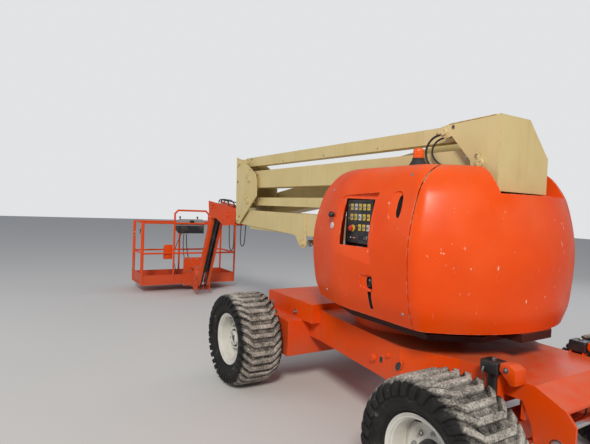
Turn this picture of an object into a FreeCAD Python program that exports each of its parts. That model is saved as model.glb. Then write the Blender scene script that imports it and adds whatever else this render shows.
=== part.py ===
import FreeCAD
import Part
import math
import os
import re

# Articulating boom lift. Millimetres, +X from the turntable to the platform, +Y to the left, +Z up.
# Shapes are drawn from the slew axis on the ground; each object is then moved to the box's centre.
doc = FreeCAD.newDocument("articulating_boom_lift")
sheet = doc.addObject("Spreadsheet::Sheet", "Sizes")

# name, value
DRIVING_SIZES = [
    # running gear
    ("wheelbase", 2320),
    ("overall_width", 2300),
    ("tyre_radius", 420),
    ("tyre_width", 390),
    ("tyre_sidewall_drop", 90),
    ("lug_depth", 30),
    ("lug_width", 48),
    ("lug_sweep", 76),
    ("lug_straight_half", 98),
    ("lug_end_drop", 14),
    ("lug_root", 8),
    ("lug_count", 24),
    ("tyre_bevel", 15),
    ("bead_inset", 8),
    ("bead_lip_gap", 4),
    ("rim_radius", 209),
    ("rim_lip", 24),
    ("rim_width", 320),
    ("rim_metal", 10),
    ("disc_offset", 20),
    ("disc_metal", 12),
    ("hub_radius", 78),
    ("hub_flange_radius", 130),
    ("hub_inboard", 100),
    ("hub_outboard", 95),
    ("spindle_radius", 60),
    ("running_gap", 0.3),
    # chassis
    ("chassis_bottom", 475),
    ("chassis_top", 745),
    ("chassis_half", 600),
    ("chassis_waist_half", 470),
    ("corner_to_axle", 660),
    ("waist_to_axle", 540),
    ("nose_half", 430),
    ("nose_plate", 16),
    ("nose_overhang", 390),
    ("bend_overhang", 170),
    ("nose_bottom", 330),
    ("nose_end_top", 610),
    ("taper_to_axle", 310),
    ("arch_half", 165),
    ("arch_top", 640),
    ("axle_box_tyre_gap", 60),
    ("axle_box_back", 380),
    ("axle_box_front", 260),
    ("axle_box_bottom", 310),
    ("axle_box_top", 630),
    ("deck_top", 800),
    ("deck_half", 560),
    ("ring_radius", 430),
    ("ring_bore", 300),
    # steering
    ("kingpin_inset", 295),
    ("kingpin_radius", 45),
    ("beam_depth", 140),
    ("beam_low", 360),
    ("beam_high", 500),
    ("yoke_plate", 30),
    ("yoke_half", 55),
    ("beam_gap", 10),
    ("centre_pin", 22),
    ("centre_pin_up", 70),
    ("rib_back", 45),
    ("rib_plate", 25),
    ("rib_foot_half", 90),
    ("beam_relief_long", 52),
    ("beam_relief_wide", 38),
    ("steer_arm", 160),
    ("steer_arm_plate", 24),
    ("tie_rod_radius", 16),
    ("tie_rod_drop", 60),
    ("tie_rod_short", 40),
    ("steer_barrel_radius", 34),
    ("steer_barrel_half", 190),
    ("saddle_inner", 110),
    ("saddle_width", 45),
    ("oscillation_to_axle", 50),
    ("oscillation_y", 475),
    ("oscillation_radius", 34),
    ("oscillation_top", 800),
    # turntable
    ("bed_bottom", 858),
    ("bed_plate", 36),
    ("mast_left_y", 240),
    ("mast_right_y", 0),
    ("mast_plate", 20),
    ("mast_back", 835),
    ("mast_front", 250),
    ("mast_top", 1775),
    ("slot_half", 345),
    ("hood_wall", 8),
    ("hood_bottom", 935),
    ("hood_seam_x", 745),
    ("hood_seam_gap", 8),
    ("hood_hinge_x", 385),
    ("hood_hinge_y", 395),
    ("hood_hinge_pin", 14),
    ("hood_hinge_low", 1000),
    ("hood_hinge_high", 1430),
    ("hood_hinge_strap", 40),
    ("notch_floor", 1785),
    ("sill_width", 22),
    ("sill_inset", 130),
    ("tail_seat_front", 800),
    ("tail_seat_half", 160),
    ("block_seam_gap", 40),
    ("engine_slot_gap", 10),
    ("tank_slot_gap", 10),
    ("engine_length", 700),
    ("engine_width", 225),
    ("engine_height", 600),
    ("tank_length", 700),
    ("tank_width", 225),
    ("tank_height", 380),
    ("panel_x", 200),
    ("panel_width", 290),
    ("panel_low", 1400),
    ("panel_height", 335),
    ("panel_depth", 60),
    ("panel_face_y", 750),
    ("beacon_x", 540),
    ("beacon_y", 560),
    ("beacon_base", 60),
    ("beacon_neck", 42),
    ("beacon_base_height", 45),
    ("beacon_lens", 36),
    ("beacon_lens_height", 75),
    ("cover_top", 1955),
    # tower, pins as x from the slew axis and height
    ("tower_y", 120),
    ("tower_width", 200),
    ("lower_pin_x", 450),
    ("lower_pin_z", 1475),
    ("lower_length", 3330),
    ("lower_height", 227),
    ("lower_wall", 8),
    ("tower_link_back", 280),
    ("tower_link_up", 235),
    ("lower_link_height", 100),
    ("lower_link_width", 100),
    ("link_wall", 6),
    ("elbow_back", 300),
    ("elbow_up", 510),
    ("mid_length", 3380),
    ("mid_height", 210),
    ("mid_wall", 7),
    ("top_link_fore", 300),
    ("top_link_up", 235),
    ("top_link_height", 114),
    ("top_link_width", 100),
    ("pin_radius", 25),
    ("tower_foot_back", 100),
    ("tower_foot_z", 1000),
    ("lift_lug_fore", 1772),
    ("lift_lug_drop", 195),
    ("cylinder_pin", 22),
    ("cylinder_base", 40),
    ("cylinder_rest", 20),
    ("eye_wall", 16),
    ("main_foot_fore", 232),
    ("main_foot_drop", 130),
    ("main_lug_fore", 1300),
    ("main_lug_drop", 190),
    ("main_lug_edge", 35),
    ("main_lug_half", 40),
    ("main_lug_gap", 100),
    ("main_lug_plate", 20),
    ("boss_radius", 60),
    ("boss_proud", 4),
    ("main_foot_pin", 20),
    ("side_plate", 12),
    ("tower_side_y", 270),
    ("middle_plate_y", -18),
    # main boom, on the right of the tower
    ("main_y", -152),
    ("main_width", 200),
    ("main_height", 280),
    ("main_wall", 6),
    ("main_pivot_fore", 100),
    ("main_pivot_up", 145),
    ("main_length", 3350),
    ("main_tail", 90),
    ("main_slope", 8.0),
    ("main_reach", 4652),
    ("fly_width", 150),
    ("fly_height", 190),
    ("fly_wall", 6),
    ("fly_kept", 480),
    ("fly_stroke", 2400),
    ("wear_pad", 120),
    # jib
    ("bracket_half", 124),
    ("jib_fore", 655),
    ("jib_up", 118),
    ("jib_slope", 64.7),
    ("jib_length", 1530),
    ("jib_link_drop", 110),
    ("jib_cover_inset", 220),
    ("jib_cover_plate", 6),
    ("rail_half", 106),
    ("rail_width", 50),
    ("rail_depth", 110),
    ("jib_link_half", 50),
    ("jib_link_plate", 10),
    ("jib_link_depth", 44),
    ("hanger_inner", 27),
    ("hanger_plate", 10),
    ("link_pin_half", 52),
    ("link_pin", 16),
    ("jib_pin_radius", 22),
    # platform
    ("rotator_fore", 255),
    ("rotator_radius", 80),
    ("rotator_low", 130),
    ("rotator_high", 430),
    ("rotator_relief", 95),
    ("rotator_relief_gap", 8),
    ("mount_arm", 36),
    ("mount_arm_width", 120),
    ("mount_plate", 12),
    ("mount_plate_half", 200),
    ("mount_plate_rise", 200),
    ("basket_fore", 250),
    ("basket_depth", 760),
    ("basket_width", 1830),
    ("basket_y", -100),
    ("basket_floor", 130),
    ("floor_plate", 30),
    ("floor_inset", 3),
    ("toe_height", 150),
    ("toe_plate", 6),
    ("rail_top", 1270),
    ("rail_middle", 710),
    ("basket_post", 18),
    ("basket_tube", 17),
    ("basket_cross_tube", 16),
    ("post_top_drop", 3),
    ("hoop_top", 1530),
    ("hoop_half", 330),
    ("hoop_corner", 60),
    ("gate_width", 560),
    ("gate_gap", 12),
    ("gate_inset", 90),
    ("gate_tube", 14),
    ("gate_post_gap", 30),
    ("gate_tab", 40),
    ("gate_tab_spread", 300),
    ("gate_floor_gap", 20),
    ("console_width", 520),
    ("console_depth", 230),
    ("console_low", 1080),
    ("console_high", 1330),
    ("console_hook", 36),
]
# name, formula; x is measured forwards from the slew axis, except slew_x itself
DERIVED_SIZES = [
    ("drive_x", "=wheelbase / 2"),
    ("steer_x", "=-wheelbase / 2"),
    ("wheel_y", "=overall_width / 2 - tyre_width / 2"),
    ("kingpin_y", "=wheel_y - kingpin_inset"),
    ("axle_box_half", "=wheel_y - tyre_width / 2 - axle_box_tyre_gap"),
    ("tie_rod_z", "=beam_high - tie_rod_drop"),
    ("lower_front_x", "=lower_length - lower_pin_x"),
    ("link_rear_x", "=-lower_pin_x - tower_link_back"),
    ("link_pin_z", "=lower_pin_z + tower_link_up"),
    ("mid_front_x", "=lower_front_x - elbow_back"),
    ("mid_rear_x", "=mid_front_x - mid_length"),
    ("mid_pin_z", "=lower_pin_z + elbow_up"),
    ("top_rear_x", "=mid_rear_x + top_link_fore"),
    ("top_pin_z", "=mid_pin_z + top_link_up"),
    ("main_pivot_x", "=mid_rear_x + main_pivot_fore"),
    ("level_pin_x", "=main_pivot_x + main_reach * cos(main_slope * 1 deg)"),
    ("foot_pin_x", "=level_pin_x + jib_fore + jib_length * cos(jib_slope * 1 deg)"),
    ("rotator_x", "=foot_pin_x + rotator_fore"),
    ("basket_near", "=rotator_x + basket_fore"),
    ("basket_far", "=basket_near + basket_depth"),
    ("slew_x", "=(tyre_radius + wheelbase / 2 - basket_far) / 2"),
    ("bed_top", "=bed_bottom + bed_plate"),
]
for row, (alias, value) in enumerate(DRIVING_SIZES + DERIVED_SIZES, start=1):
    sheet.set("A%d" % row, alias.replace("_", " "))
    sheet.set("B%d" % row, str(value))
    sheet.setAlias("B%d" % row, alias)
doc.recompute()


class Sizes:
    """The sheet's values as plain numbers, by their aliases."""


size = Sizes()
for alias, _ in DRIVING_SIZES + DERIVED_SIZES:
    setattr(size, alias, float(sheet.get(alias)))


def vec(x, y, z):
    return FreeCAD.Vector(x, y, z)


def turned(x, z, degrees):
    """A side-view offset turned from +X towards +Z."""
    angle = math.radians(degrees)
    return (x * math.cos(angle) - z * math.sin(angle), x * math.sin(angle) + z * math.cos(angle))


def block(x0, x1, y0, y1, z0, z1):
    return Part.makeBox(x1 - x0, y1 - y0, z1 - z0, vec(x0, y0, z0))


def side_profile(points, y0, y1):
    """An outline of (x, z) points, extruded across the machine."""
    ring = [vec(x, y0, z) for x, z in points]
    face = Part.Face(Part.makePolygon(ring + ring[:1]))
    return face.extrude(vec(0, y1 - y0, 0))


def plan_profile(points, z0, z1):
    """An outline of (x, y) points, extruded upwards."""
    ring = [vec(x, y, z0) for x, y in points]
    face = Part.Face(Part.makePolygon(ring + ring[:1]))
    return face.extrude(vec(0, 0, z1 - z0))


def cross_pin(x, z, radius, y0, y1):
    return Part.makeCylinder(radius, y1 - y0, vec(x, y0, z), vec(0, 1, 0))


def post(x, y, radius, z0, z1):
    return Part.makeCylinder(radius, z1 - z0, vec(x, y, z0), vec(0, 0, 1))


def rod_between(start, end, radius):
    run = end.sub(start)
    return Part.makeCylinder(radius, run.Length, start, run)


def fuse(shapes):
    return shapes[0].multiFuse(shapes[1:]).removeSplitter() if len(shapes) > 1 else shapes[0]


def revolve_y(points, centre):
    """A (y, radius) outline turned about the wheel's axis."""
    ring = [vec(0, y, r) for y, r in points]
    face = Part.Face(Part.makePolygon(ring + ring[:1]))
    solid = face.revolve(vec(0, 0, 0), vec(0, 1, 0), 360)
    solid.translate(centre)
    return solid


def lean(shape, pivot, degrees):
    """Turn a shape in the side view, from +X towards +Z, about a pivot given as (x, z)."""
    shape.rotate(vec(pivot[0], 0, pivot[1]), vec(0, -1, 0), degrees)
    return shape


def tube_x(x0, x1, y, z, width, height, wall):
    outer = block(x0, x1, y - width / 2, y + width / 2, z - height / 2, z + height / 2)
    inner = block(x0 - 1, x1 + 1, y - width / 2 + wall, y + width / 2 - wall,
                  z - height / 2 + wall, z + height / 2 - wall)
    return outer.cut(inner)


drive_x = size.drive_x
steer_x = size.steer_x
wheel_y = size.wheel_y
kingpin_y = size.kingpin_y

# Stations along the chassis, each measured from the axle that it belongs to
corner_x = steer_x + size.corner_to_axle
waist_x = drive_x - size.waist_to_axle
nose_x = steer_x - size.nose_overhang
bend_x = steer_x - size.bend_overhang
taper_x = steer_x + size.taper_to_axle
oscillation_x = steer_x + size.oscillation_to_axle

# Pins of the tower and booms in the side view
lower_rear = (-size.lower_pin_x, size.lower_pin_z)
lower_front = (lower_rear[0] + size.lower_length, lower_rear[1])
link_rear = (lower_rear[0] - size.tower_link_back, lower_rear[1] + size.tower_link_up)
link_front = (lower_front[0] - size.tower_link_back, lower_front[1] + size.tower_link_up)
mid_front = (lower_front[0] - size.elbow_back, lower_front[1] + size.elbow_up)
mid_rear = (mid_front[0] - size.mid_length, mid_front[1])
top_front = (mid_front[0] + size.top_link_fore, mid_front[1] + size.top_link_up)
top_rear = (mid_rear[0] + size.top_link_fore, mid_rear[1] + size.top_link_up)
main_pivot = (mid_rear[0] + size.main_pivot_fore, mid_rear[1] + size.main_pivot_up)
reach = turned(size.main_reach, 0, -size.main_slope)
level_pin = (main_pivot[0] + reach[0], main_pivot[1] + reach[1])
jib_pin = (level_pin[0] + size.jib_fore, level_pin[1] + size.jib_up)
jib_link_pin = (jib_pin[0], jib_pin[1] - size.jib_link_drop)
jib_run = turned(size.jib_length, 0, -size.jib_slope)
foot_pin = (jib_pin[0] + jib_run[0], jib_pin[1] + jib_run[1])
foot_link_pin = (foot_pin[0], foot_pin[1] - size.jib_link_drop)
rotator_x = foot_pin[0] + size.rotator_fore
basket_near = rotator_x + size.basket_fore
basket_far = basket_near + size.basket_depth
basket_left = size.basket_y + size.basket_width / 2
basket_right = size.basket_y - size.basket_width / 2

main_foot = (mid_rear[0] + size.main_foot_fore, mid_rear[1] - size.main_foot_drop)
lug_offset = turned(size.main_lug_fore, -size.main_lug_drop, -size.main_slope)
main_head = (main_pivot[0] + lug_offset[0], main_pivot[1] + lug_offset[1])
tower_foot = (-size.tower_foot_back, size.tower_foot_z)
lift_lug = (lower_rear[0] + size.lift_lug_fore, lower_rear[1] - size.lift_lug_drop)

slew_x = size.slew_x
sub_parts = []


def store(label, shape):
    """A sub-part with its own label, moved from the slew axis to the machine's own origin."""
    item = doc.addObject("Part::Feature", label)
    item.Label = label
    item.Shape = shape
    to_centre = FreeCAD.Placement(vec(slew_x, 0, 0), FreeCAD.Rotation())
    item.Placement = to_centre.multiply(shape.Placement)
    sub_parts.append(item)
    return item


# Forms that stay bound to the sheet. Places and sizes are formulas of its cells, x from the slew axis.
ALONG = {
    "x": FreeCAD.Rotation(vec(0, 1, 0), 90),
    "y": FreeCAD.Rotation(vec(1, 0, 0), -90),
    "z": FreeCAD.Rotation(),
}


def sheet_formula(text):
    """A formula of aliases, each marked as a cell of the sheet."""
    words = re.split(r"([a-z][a-z_]+)", text)
    return "".join("Sizes." + word if hasattr(size, word) else word for word in words)


def bind(item, place, sizes):
    for axis, formula in zip("xyz", place):
        start = "slew_x + " if axis == "x" else ""
        item.setExpression("Placement.Base." + axis, sheet_formula(start + formula))
    for name, formula in sizes.items():
        item.setExpression(name, sheet_formula(formula))
    return item


def bound_box(label, place, length, width, height):
    item = doc.addObject("Part::Box", label)
    return bind(item, place, {"Length": length, "Width": width, "Height": height})


def bound_round(label, place, axis, radius, height):
    item = doc.addObject("Part::Cylinder", label)
    item.Placement.Rotation = ALONG[axis]
    return bind(item, place, {"Radius": radius, "Height": height})


def bound_fusion(label, shapes):
    item = doc.addObject("Part::MultiFuse", label)
    item.Shapes = shapes
    item.Refine = True
    return item


def bound_cut(label, base, tool):
    item = doc.addObject("Part::Cut", label)
    item.Base = base
    item.Tool = tool
    item.Refine = True
    return item


def keep(item):
    """Marks a finished bound form as a sub-part."""
    item.Label = item.Name
    sub_parts.append(item)
    return item


# Chassis
def chassis():
    half = size.chassis_half
    waist = size.chassis_waist_half
    nose = size.nose_half
    back = corner_x
    plan = [(back, -half), (waist_x, -waist), (waist_x, waist), (back, half),
            (taper_x, nose), (taper_x, -nose)]
    middle = plan_profile(plan, size.chassis_bottom, size.chassis_top)
    deck_back = drive_x - size.axle_box_back
    deck_front = drive_x + size.axle_box_front
    deck = block(waist_x, deck_front, -size.deck_half, size.deck_half, size.axle_box_top,
                 size.deck_top)
    tongue = block(waist_x - 50, deck_back, -waist, waist, size.chassis_bottom, size.chassis_top)
    turret = post(0, 0, size.ring_radius + 20, size.chassis_top - 20, size.deck_top)
    sides = []
    for side in (-1, 1):
        outline = [(taper_x + 30, size.nose_bottom + 130), (taper_x + 30, size.chassis_top),
                   (bend_x, size.chassis_top), (nose_x + 50, size.nose_end_top + 60),
                   (nose_x, size.nose_end_top), (nose_x, size.nose_bottom + 60),
                   (nose_x + 60, size.nose_bottom),
                   (steer_x - size.arch_half - 30, size.nose_bottom),
                   (steer_x - size.arch_half, size.arch_top - 120),
                   (steer_x - size.arch_half + 60, size.arch_top),
                   (steer_x + size.arch_half - 60, size.arch_top),
                   (steer_x + size.arch_half, size.arch_top - 120),
                   (steer_x + size.arch_half, size.nose_bottom + 130)]
        y0, y1 = sorted((side * nose, side * (nose - size.nose_plate)))
        plate = side_profile(outline, y0, y1)
        tie_hole = cross_pin(nose_x + 85, size.nose_bottom + 140, 32, y0 - 5, y1 + 5)
        sides.append(plate.cut(tie_hole))
    inner = nose - size.nose_plate
    top_plate = block(bend_x, taper_x + 1, -inner, inner,
                      size.chassis_top - size.nose_plate, size.chassis_top)
    slope = [(bend_x, size.chassis_top), (nose_x + 50, size.nose_end_top + 60),
             (nose_x + 50, size.nose_end_top + 60 - size.nose_plate),
             (bend_x, size.chassis_top - size.nose_plate)]
    front_plate = side_profile(slope, -inner, inner)
    # cross plates that carry the oscillating axle's centre pin
    ribs = []
    rib_low = size.beam_high + size.yoke_plate
    rib = size.rib_plate
    rib_reach = size.beam_depth / 2 + size.rib_back
    for x in (steer_x - rib_reach, steer_x + rib_reach - rib):
        ribs.append(block(x, x + rib, -inner, inner, rib_low, size.chassis_top - size.nose_plate + 1))
        ribs.append(block(x, x + rib, -size.rib_foot_half, size.rib_foot_half, size.beam_low + 20,
                          rib_low + 1))
    pin_back = steer_x - size.beam_depth / 2 - size.rib_back
    centre_pin = Part.makeCylinder(size.centre_pin, size.beam_depth + 2 * size.rib_back,
                                   vec(pin_back, 0, size.beam_low + size.centre_pin_up), vec(1, 0, 0))
    # brackets that hold the two oscillation cylinders
    brackets = []
    for side in (-1, 1):
        x = oscillation_x
        y0, y1 = sorted((side * (nose - 2), side * (size.oscillation_y + 10)))
        for x0 in (x - size.oscillation_radius - 12, x + size.oscillation_radius + 1):
            brackets.append(side_profile([(x0, 600), (x0 + 11, 600), (x0 + 11, 760), (x0, 760)], y0, y1))
    return fuse([middle, deck, tongue, turret, top_plate, front_plate, centre_pin] + sides + ribs + brackets)


store("chassis_frame", chassis())


axle_box = bound_box("axle_box", ("drive_x - axle_box_back", "-axle_box_half", "axle_box_bottom"),
                     "axle_box_back + axle_box_front", "2 * axle_box_half",
                     "axle_box_top - axle_box_bottom")
spindles = bound_round("drive_spindles", ("drive_x", "-(wheel_y - hub_inboard - running_gap)", "tyre_radius"),
                       "y", "spindle_radius", "2 * (wheel_y - hub_inboard - running_gap)")
keep(bound_fusion("drive_axle", [axle_box, spindles]))


def steer_beam():
    end = kingpin_y - size.kingpin_radius - size.beam_gap
    x0 = steer_x - size.beam_depth / 2
    x1 = steer_x + size.beam_depth / 2
    # the beam's rear corners are cut back for the steering arms at full lock
    relief_x = x0 + size.beam_relief_long
    relief_y = end - size.beam_relief_wide
    beam = plan_profile([(x1, -end), (x1, end), (relief_x, end), (x0, relief_y), (x0, -relief_y),
                         (relief_x, -end)], size.beam_low, size.beam_high)
    hole = Part.makeCylinder(size.centre_pin + size.running_gap, size.beam_depth + 2,
                             vec(x0 - 1, 0, size.beam_low + size.centre_pin_up), vec(1, 0, 0))
    parts = [beam.cut(hole)]
    for side in (-1, 1):
        y0, y1 = sorted((side * (end - 50), side * (kingpin_y + 50)))
        for z0 in (size.beam_low - size.yoke_plate, size.beam_high):
            parts.append(block(steer_x - size.yoke_half, steer_x + size.yoke_half, y0, y1, z0,
                               z0 + size.yoke_plate))
    barrel = cross_pin(steer_x - size.steer_arm, size.tie_rod_z, size.steer_barrel_radius,
                       -size.steer_barrel_half, size.steer_barrel_half)
    for side in (-1, 1):
        y0, y1 = sorted((side * size.saddle_inner, side * (size.saddle_inner + size.saddle_width)))
        saddle = block(steer_x - size.steer_arm, x0 + 1, y0, y1, size.beam_high - 85, size.beam_high - 35)
        parts.append(saddle.cut(barrel))
    return fuse(parts)


store("steer_axle", steer_beam())
steer_barrel = bound_round("steer_barrel", ("steer_x - steer_arm", "-steer_barrel_half", "tie_rod_z"), "y",
                           "steer_barrel_radius", "2 * steer_barrel_half")
steer_bore = bound_round("steer_bore", ("steer_x - steer_arm", "-steer_barrel_half - 1", "tie_rod_z"), "y",
                         "tie_rod_radius + running_gap", "2 * steer_barrel_half + 2")
keep(bound_cut("steer_cylinder", steer_barrel, steer_bore))
keep(bound_round("tie_rod", ("steer_x - steer_arm", "tie_rod_short - kingpin_y", "tie_rod_z"), "y",
                 "tie_rod_radius", "2 * (kingpin_y - tie_rod_short)"))


def knuckle(side):
    gap = size.running_gap
    barrel = post(steer_x, side * kingpin_y, size.kingpin_radius, size.beam_low + gap, size.beam_high - gap)
    y0, y1 = sorted((side * kingpin_y, side * (wheel_y - size.hub_inboard - gap)))
    spindle = cross_pin(steer_x, size.tyre_radius, size.spindle_radius, y0, y1)
    arm_low = size.tie_rod_z - size.tie_rod_radius - size.steer_arm_plate - 0.5
    arm = block(steer_x - size.steer_arm - 25, steer_x, side * kingpin_y - 28, side * kingpin_y + 28,
                arm_low, arm_low + size.steer_arm_plate)
    return fuse([barrel, spindle, arm])


store("knuckle_left", knuckle(1))
store("knuckle_right", knuckle(-1))


# Oscillation cylinders between the chassis and the steering axle
def oscillation_cylinders():
    shapes = []
    for side in (-1, 1):
        y = side * size.oscillation_y
        body = post(oscillation_x, y, size.oscillation_radius, size.beam_high + 31, size.oscillation_top)
        cap = block(oscillation_x - 45, oscillation_x + 45, y - 42, y + 42, size.oscillation_top - 40,
                    size.oscillation_top + 20)
        rod = post(oscillation_x, y, 18, size.beam_high + size.running_gap, size.beam_high + 31)
        shapes.append(fuse([body, cap, rod]))
    return Part.makeCompound(shapes)


store("oscillation_cylinders", oscillation_cylinders())

ring_body = bound_round("ring_body", ("0", "0", "deck_top"), "z", "ring_radius", "bed_bottom - deck_top")
ring_hole = bound_round("ring_hole", ("0", "0", "deck_top - 1"), "z", "ring_bore",
                        "bed_bottom - deck_top + 2")
keep(bound_cut("slew_bearing", ring_body, ring_hole))


# Wheels
def shell_solid(outlines):
    """A solid inside flat faces that meet edge to edge."""
    faces = [Part.Face(Part.makePolygon(outline + outline[:1])) for outline in outlines]
    return Part.Solid(Part.Shell(faces))


def tread_bar():
    """One flat-sided bar at the top of the wheel: straight over the crown, swept at both shoulders."""
    r = size.tyre_radius
    end = size.tyre_width / 2 - size.tyre_bevel
    root = r - size.tyre_sidewall_drop + size.lug_root
    wide = size.lug_width / 2
    # across the tread, offset round it, outer radius
    stations = [(-end, size.lug_sweep, r - size.lug_end_drop), (-size.lug_straight_half, 0, r),
                (size.lug_straight_half, 0, r), (end, size.lug_sweep, r - size.lug_end_drop)]
    sections = []
    for y, offset, radius in stations:
        low_x = offset - wide
        high_x = offset + wide
        sections.append([vec(low_x, y, root), vec(low_x, y, math.sqrt(radius ** 2 - low_x ** 2)),
                         vec(high_x, y, math.sqrt(radius ** 2 - high_x ** 2)), vec(high_x, y, root)])
    outlines = [sections[0], sections[-1]]
    for one, two in zip(sections, sections[1:]):
        outlines += [[one[0], one[1], two[1], two[0]], [one[2], one[3], two[3], two[2]],
                     [one[3], one[0], two[0], two[3]], [one[1], one[2], two[2]], [one[1], two[2], two[1]]]
    return shell_solid(outlines)


def tyre():
    """A carcass with as many flats as bars, and the swept bars on it, about the wheel's axis."""
    half = size.tyre_width / 2
    bead = size.rim_width / 2 - size.bead_inset - size.running_gap
    lip = size.rim_radius + size.rim_lip + size.bead_lip_gap
    crown = size.tyre_radius - size.lug_depth
    flank = size.tyre_radius - size.tyre_sidewall_drop
    edge = half - size.lug_depth
    count = int(size.lug_count)
    bore = size.rim_radius / math.cos(math.pi / count)
    section = [(-bead, bore), (-bead, lip), (-half, flank), (-edge, crown), (edge, crown), (half, flank),
               (bead, lip), (bead, bore)]
    rings = []
    for index in range(count):
        angle = 2 * math.pi * (index + 0.5) / count
        rings.append([vec(radius * math.sin(angle), y, radius * math.cos(angle)) for y, radius in section])
    outlines = []
    for one, two in zip(rings, rings[1:] + rings[:1]):
        for corner in range(len(section)):
            after = (corner + 1) % len(section)
            outlines.append([one[corner], one[after], two[after], two[corner]])
    carcass = shell_solid(outlines)
    bar = tread_bar()
    bars = []
    for index in range(count):
        copy = bar.copy()
        copy.rotate(vec(0, 0, 0), vec(0, 1, 0), 360 * index / count)
        bars.append(copy)
    return carcass.multiFuse(bars)


def rim(centre, side):
    half = size.rim_width / 2
    r = size.rim_radius - size.running_gap
    lip = r + size.rim_lip
    metal = size.rim_metal
    barrel = revolve_y([(-half, r - metal), (-half, lip), (-half + 8, lip), (-half + 8, r), (half - 8, r),
                        (half - 8, lip), (half, lip), (half, r - metal)], centre)
    y = side * size.disc_offset
    disc = revolve_y([(y, 0), (y, r - metal + 1), (y + side * size.disc_metal, r - metal + 1),
                      (y + side * size.disc_metal, 0)], centre)
    inboard = -side * size.hub_inboard
    outboard = side * size.hub_outboard
    hub = revolve_y([(inboard, 0), (inboard, size.hub_radius), (outboard, size.hub_radius), (outboard, 0)],
                    centre)
    flange = revolve_y([(y - side * 20, 0), (y - side * 20, size.hub_flange_radius),
                        (y, size.hub_flange_radius), (y, 0)], centre)
    return fuse([barrel, disc, hub, flange])


WHEELS = [
    # name, x, side
    ("drive_left", drive_x, 1),
    ("drive_right", drive_x, -1),
    ("steer_left", steer_x, 1),
    ("steer_right", steer_x, -1),
]
lugged_tyre = tyre()
for name, x, side in WHEELS:
    centre = vec(x, side * wheel_y, size.tyre_radius)
    fitted = lugged_tyre.copy()
    if side < 0:
        fitted.rotate(vec(0, 0, 0), vec(0, 0, 1), 180)
    fitted.translate(centre)
    store("tyre_" + name, fitted)
    store("rim_" + name, rim(centre, side))

# Turntable covers: height, side half width, tail radius, front reach, front half width
COVER_SECTIONS = [
    (935, 745, 1085, 470, 600),
    (1050, 790, 1122, 500, 640),
    (1430, 825, 1140, 500, 680),
    (1750, 768, 1080, 450, 630),
    (1890, 705, 1005, 370, 570),
    (size.cover_top, 640, 935, 290, 510),
]
COVER_TAPER_X = 0
COVER_CORNER = 120
COVER_FRONT_CORNER = 90


def cover_outline(section, inset):
    """One plan section of the covers: straight sides, round tail, tapered front, round corners."""
    z, half, tail, front, front_half = section
    half = half - inset
    tail = tail - inset
    front = front - inset
    front_half = front_half - inset
    corner = COVER_CORNER
    fx = -math.sqrt((tail - corner) ** 2 - (half - corner) ** 2)
    tangent = vec(fx, half - corner, 0) * (tail / (tail - corner))
    middle_angle = (math.pi / 2 + math.atan2(half - corner, fx)) / 2
    middle = (fx + corner * math.cos(middle_angle), half - corner + corner * math.sin(middle_angle))
    taper_angle = math.atan2(half - front_half, front - COVER_TAPER_X)
    nose = COVER_FRONT_CORNER
    nose_x = front - nose
    nose_y = half - (nose_x - COVER_TAPER_X) * math.tan(taper_angle) - nose / math.cos(taper_angle)
    edges = []
    points = {}
    points["side_rear"] = (fx, half)
    points["side_front"] = (COVER_TAPER_X, half)
    points["taper_end"] = (nose_x + nose * math.sin(taper_angle), nose_y + nose * math.cos(taper_angle))
    bisect = (math.pi / 2 - taper_angle) / 2
    points["nose_middle"] = (nose_x + nose * math.cos(bisect), nose_y + nose * math.sin(bisect))
    points["front"] = (front, nose_y)

    def place(point, side=1):
        return vec(point[0], side * point[1], z)

    for side in (1, -1):
        rear = place(points["side_rear"], side)
        bend = place(points["side_front"], side)
        taper_end = place(points["taper_end"], side)
        nose_arc = Part.Arc(taper_end, place(points["nose_middle"], side), place(points["front"], side))
        run = [Part.LineSegment(rear, bend).toShape(), Part.LineSegment(bend, taper_end).toShape(),
               nose_arc.toShape()]
        corner_arc = Part.Arc(place((tangent.x, tangent.y), side), place(middle, side),
                              place(points["side_rear"], side)).toShape()
        if side == 1:
            edges += [corner_arc] + run
            edges.append(Part.LineSegment(place(points["front"], 1), place(points["front"], -1)).toShape())
        else:
            edges += run[::-1] + [corner_arc]
    edges.append(Part.Arc(place((tangent.x, tangent.y), -1), vec(-tail, 0, z),
                          place((tangent.x, tangent.y), 1)).toShape())
    return Part.Wire(Part.__sortEdges__(edges))


def cover_solid(inset, bottom_extra=0):
    """The covers' outer form, or the same drawn inwards by a wall."""
    wires = []
    for index, section in enumerate(COVER_SECTIONS):
        z = section[0]
        if index == 0:
            z -= bottom_extra
        if index == len(COVER_SECTIONS) - 1:
            z -= inset
        wires.append(cover_outline((z,) + section[1:], inset))
    return Part.makeLoft(wires, True, True)


outer_cover = cover_solid(0)
inner_cover = cover_solid(size.hood_wall, 5)
seam = -size.hood_seam_x
BIG = 3000


def side_cover(side):
    y0, y1 = sorted((side * size.slot_half, side * BIG))
    keep = block(seam + size.hood_seam_gap, BIG, y0, y1, 0, BIG)
    return outer_cover.cut(inner_cover).common(keep)


def hinge_straps(side):
    """Two straps from the cover's front wall back to its hinge pin."""
    straps = []
    y = side * size.hood_hinge_y
    for z in (size.hood_hinge_low, size.hood_hinge_high):
        top = z + size.hood_hinge_strap
        ring = post(size.hood_hinge_x, y, size.hood_hinge_pin + 10, z, top)
        strap = block(size.hood_hinge_x, BIG, y - 12, y + 12, z, top).common(outer_cover)
        straps.append(fuse([ring, strap]))
    return fuse(straps).cut(post(size.hood_hinge_x, y, size.hood_hinge_pin + size.running_gap, 0, BIG))


panel_back = -size.panel_x - size.panel_width / 2
panel_window = block(panel_back, panel_back + size.panel_width, size.slot_half + 50, BIG, size.panel_low,
                     size.panel_low + size.panel_height)
store("hood_left", fuse([side_cover(1).cut(panel_window), hinge_straps(1)]))
store("hood_right", fuse([side_cover(-1), hinge_straps(-1)]))


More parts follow.
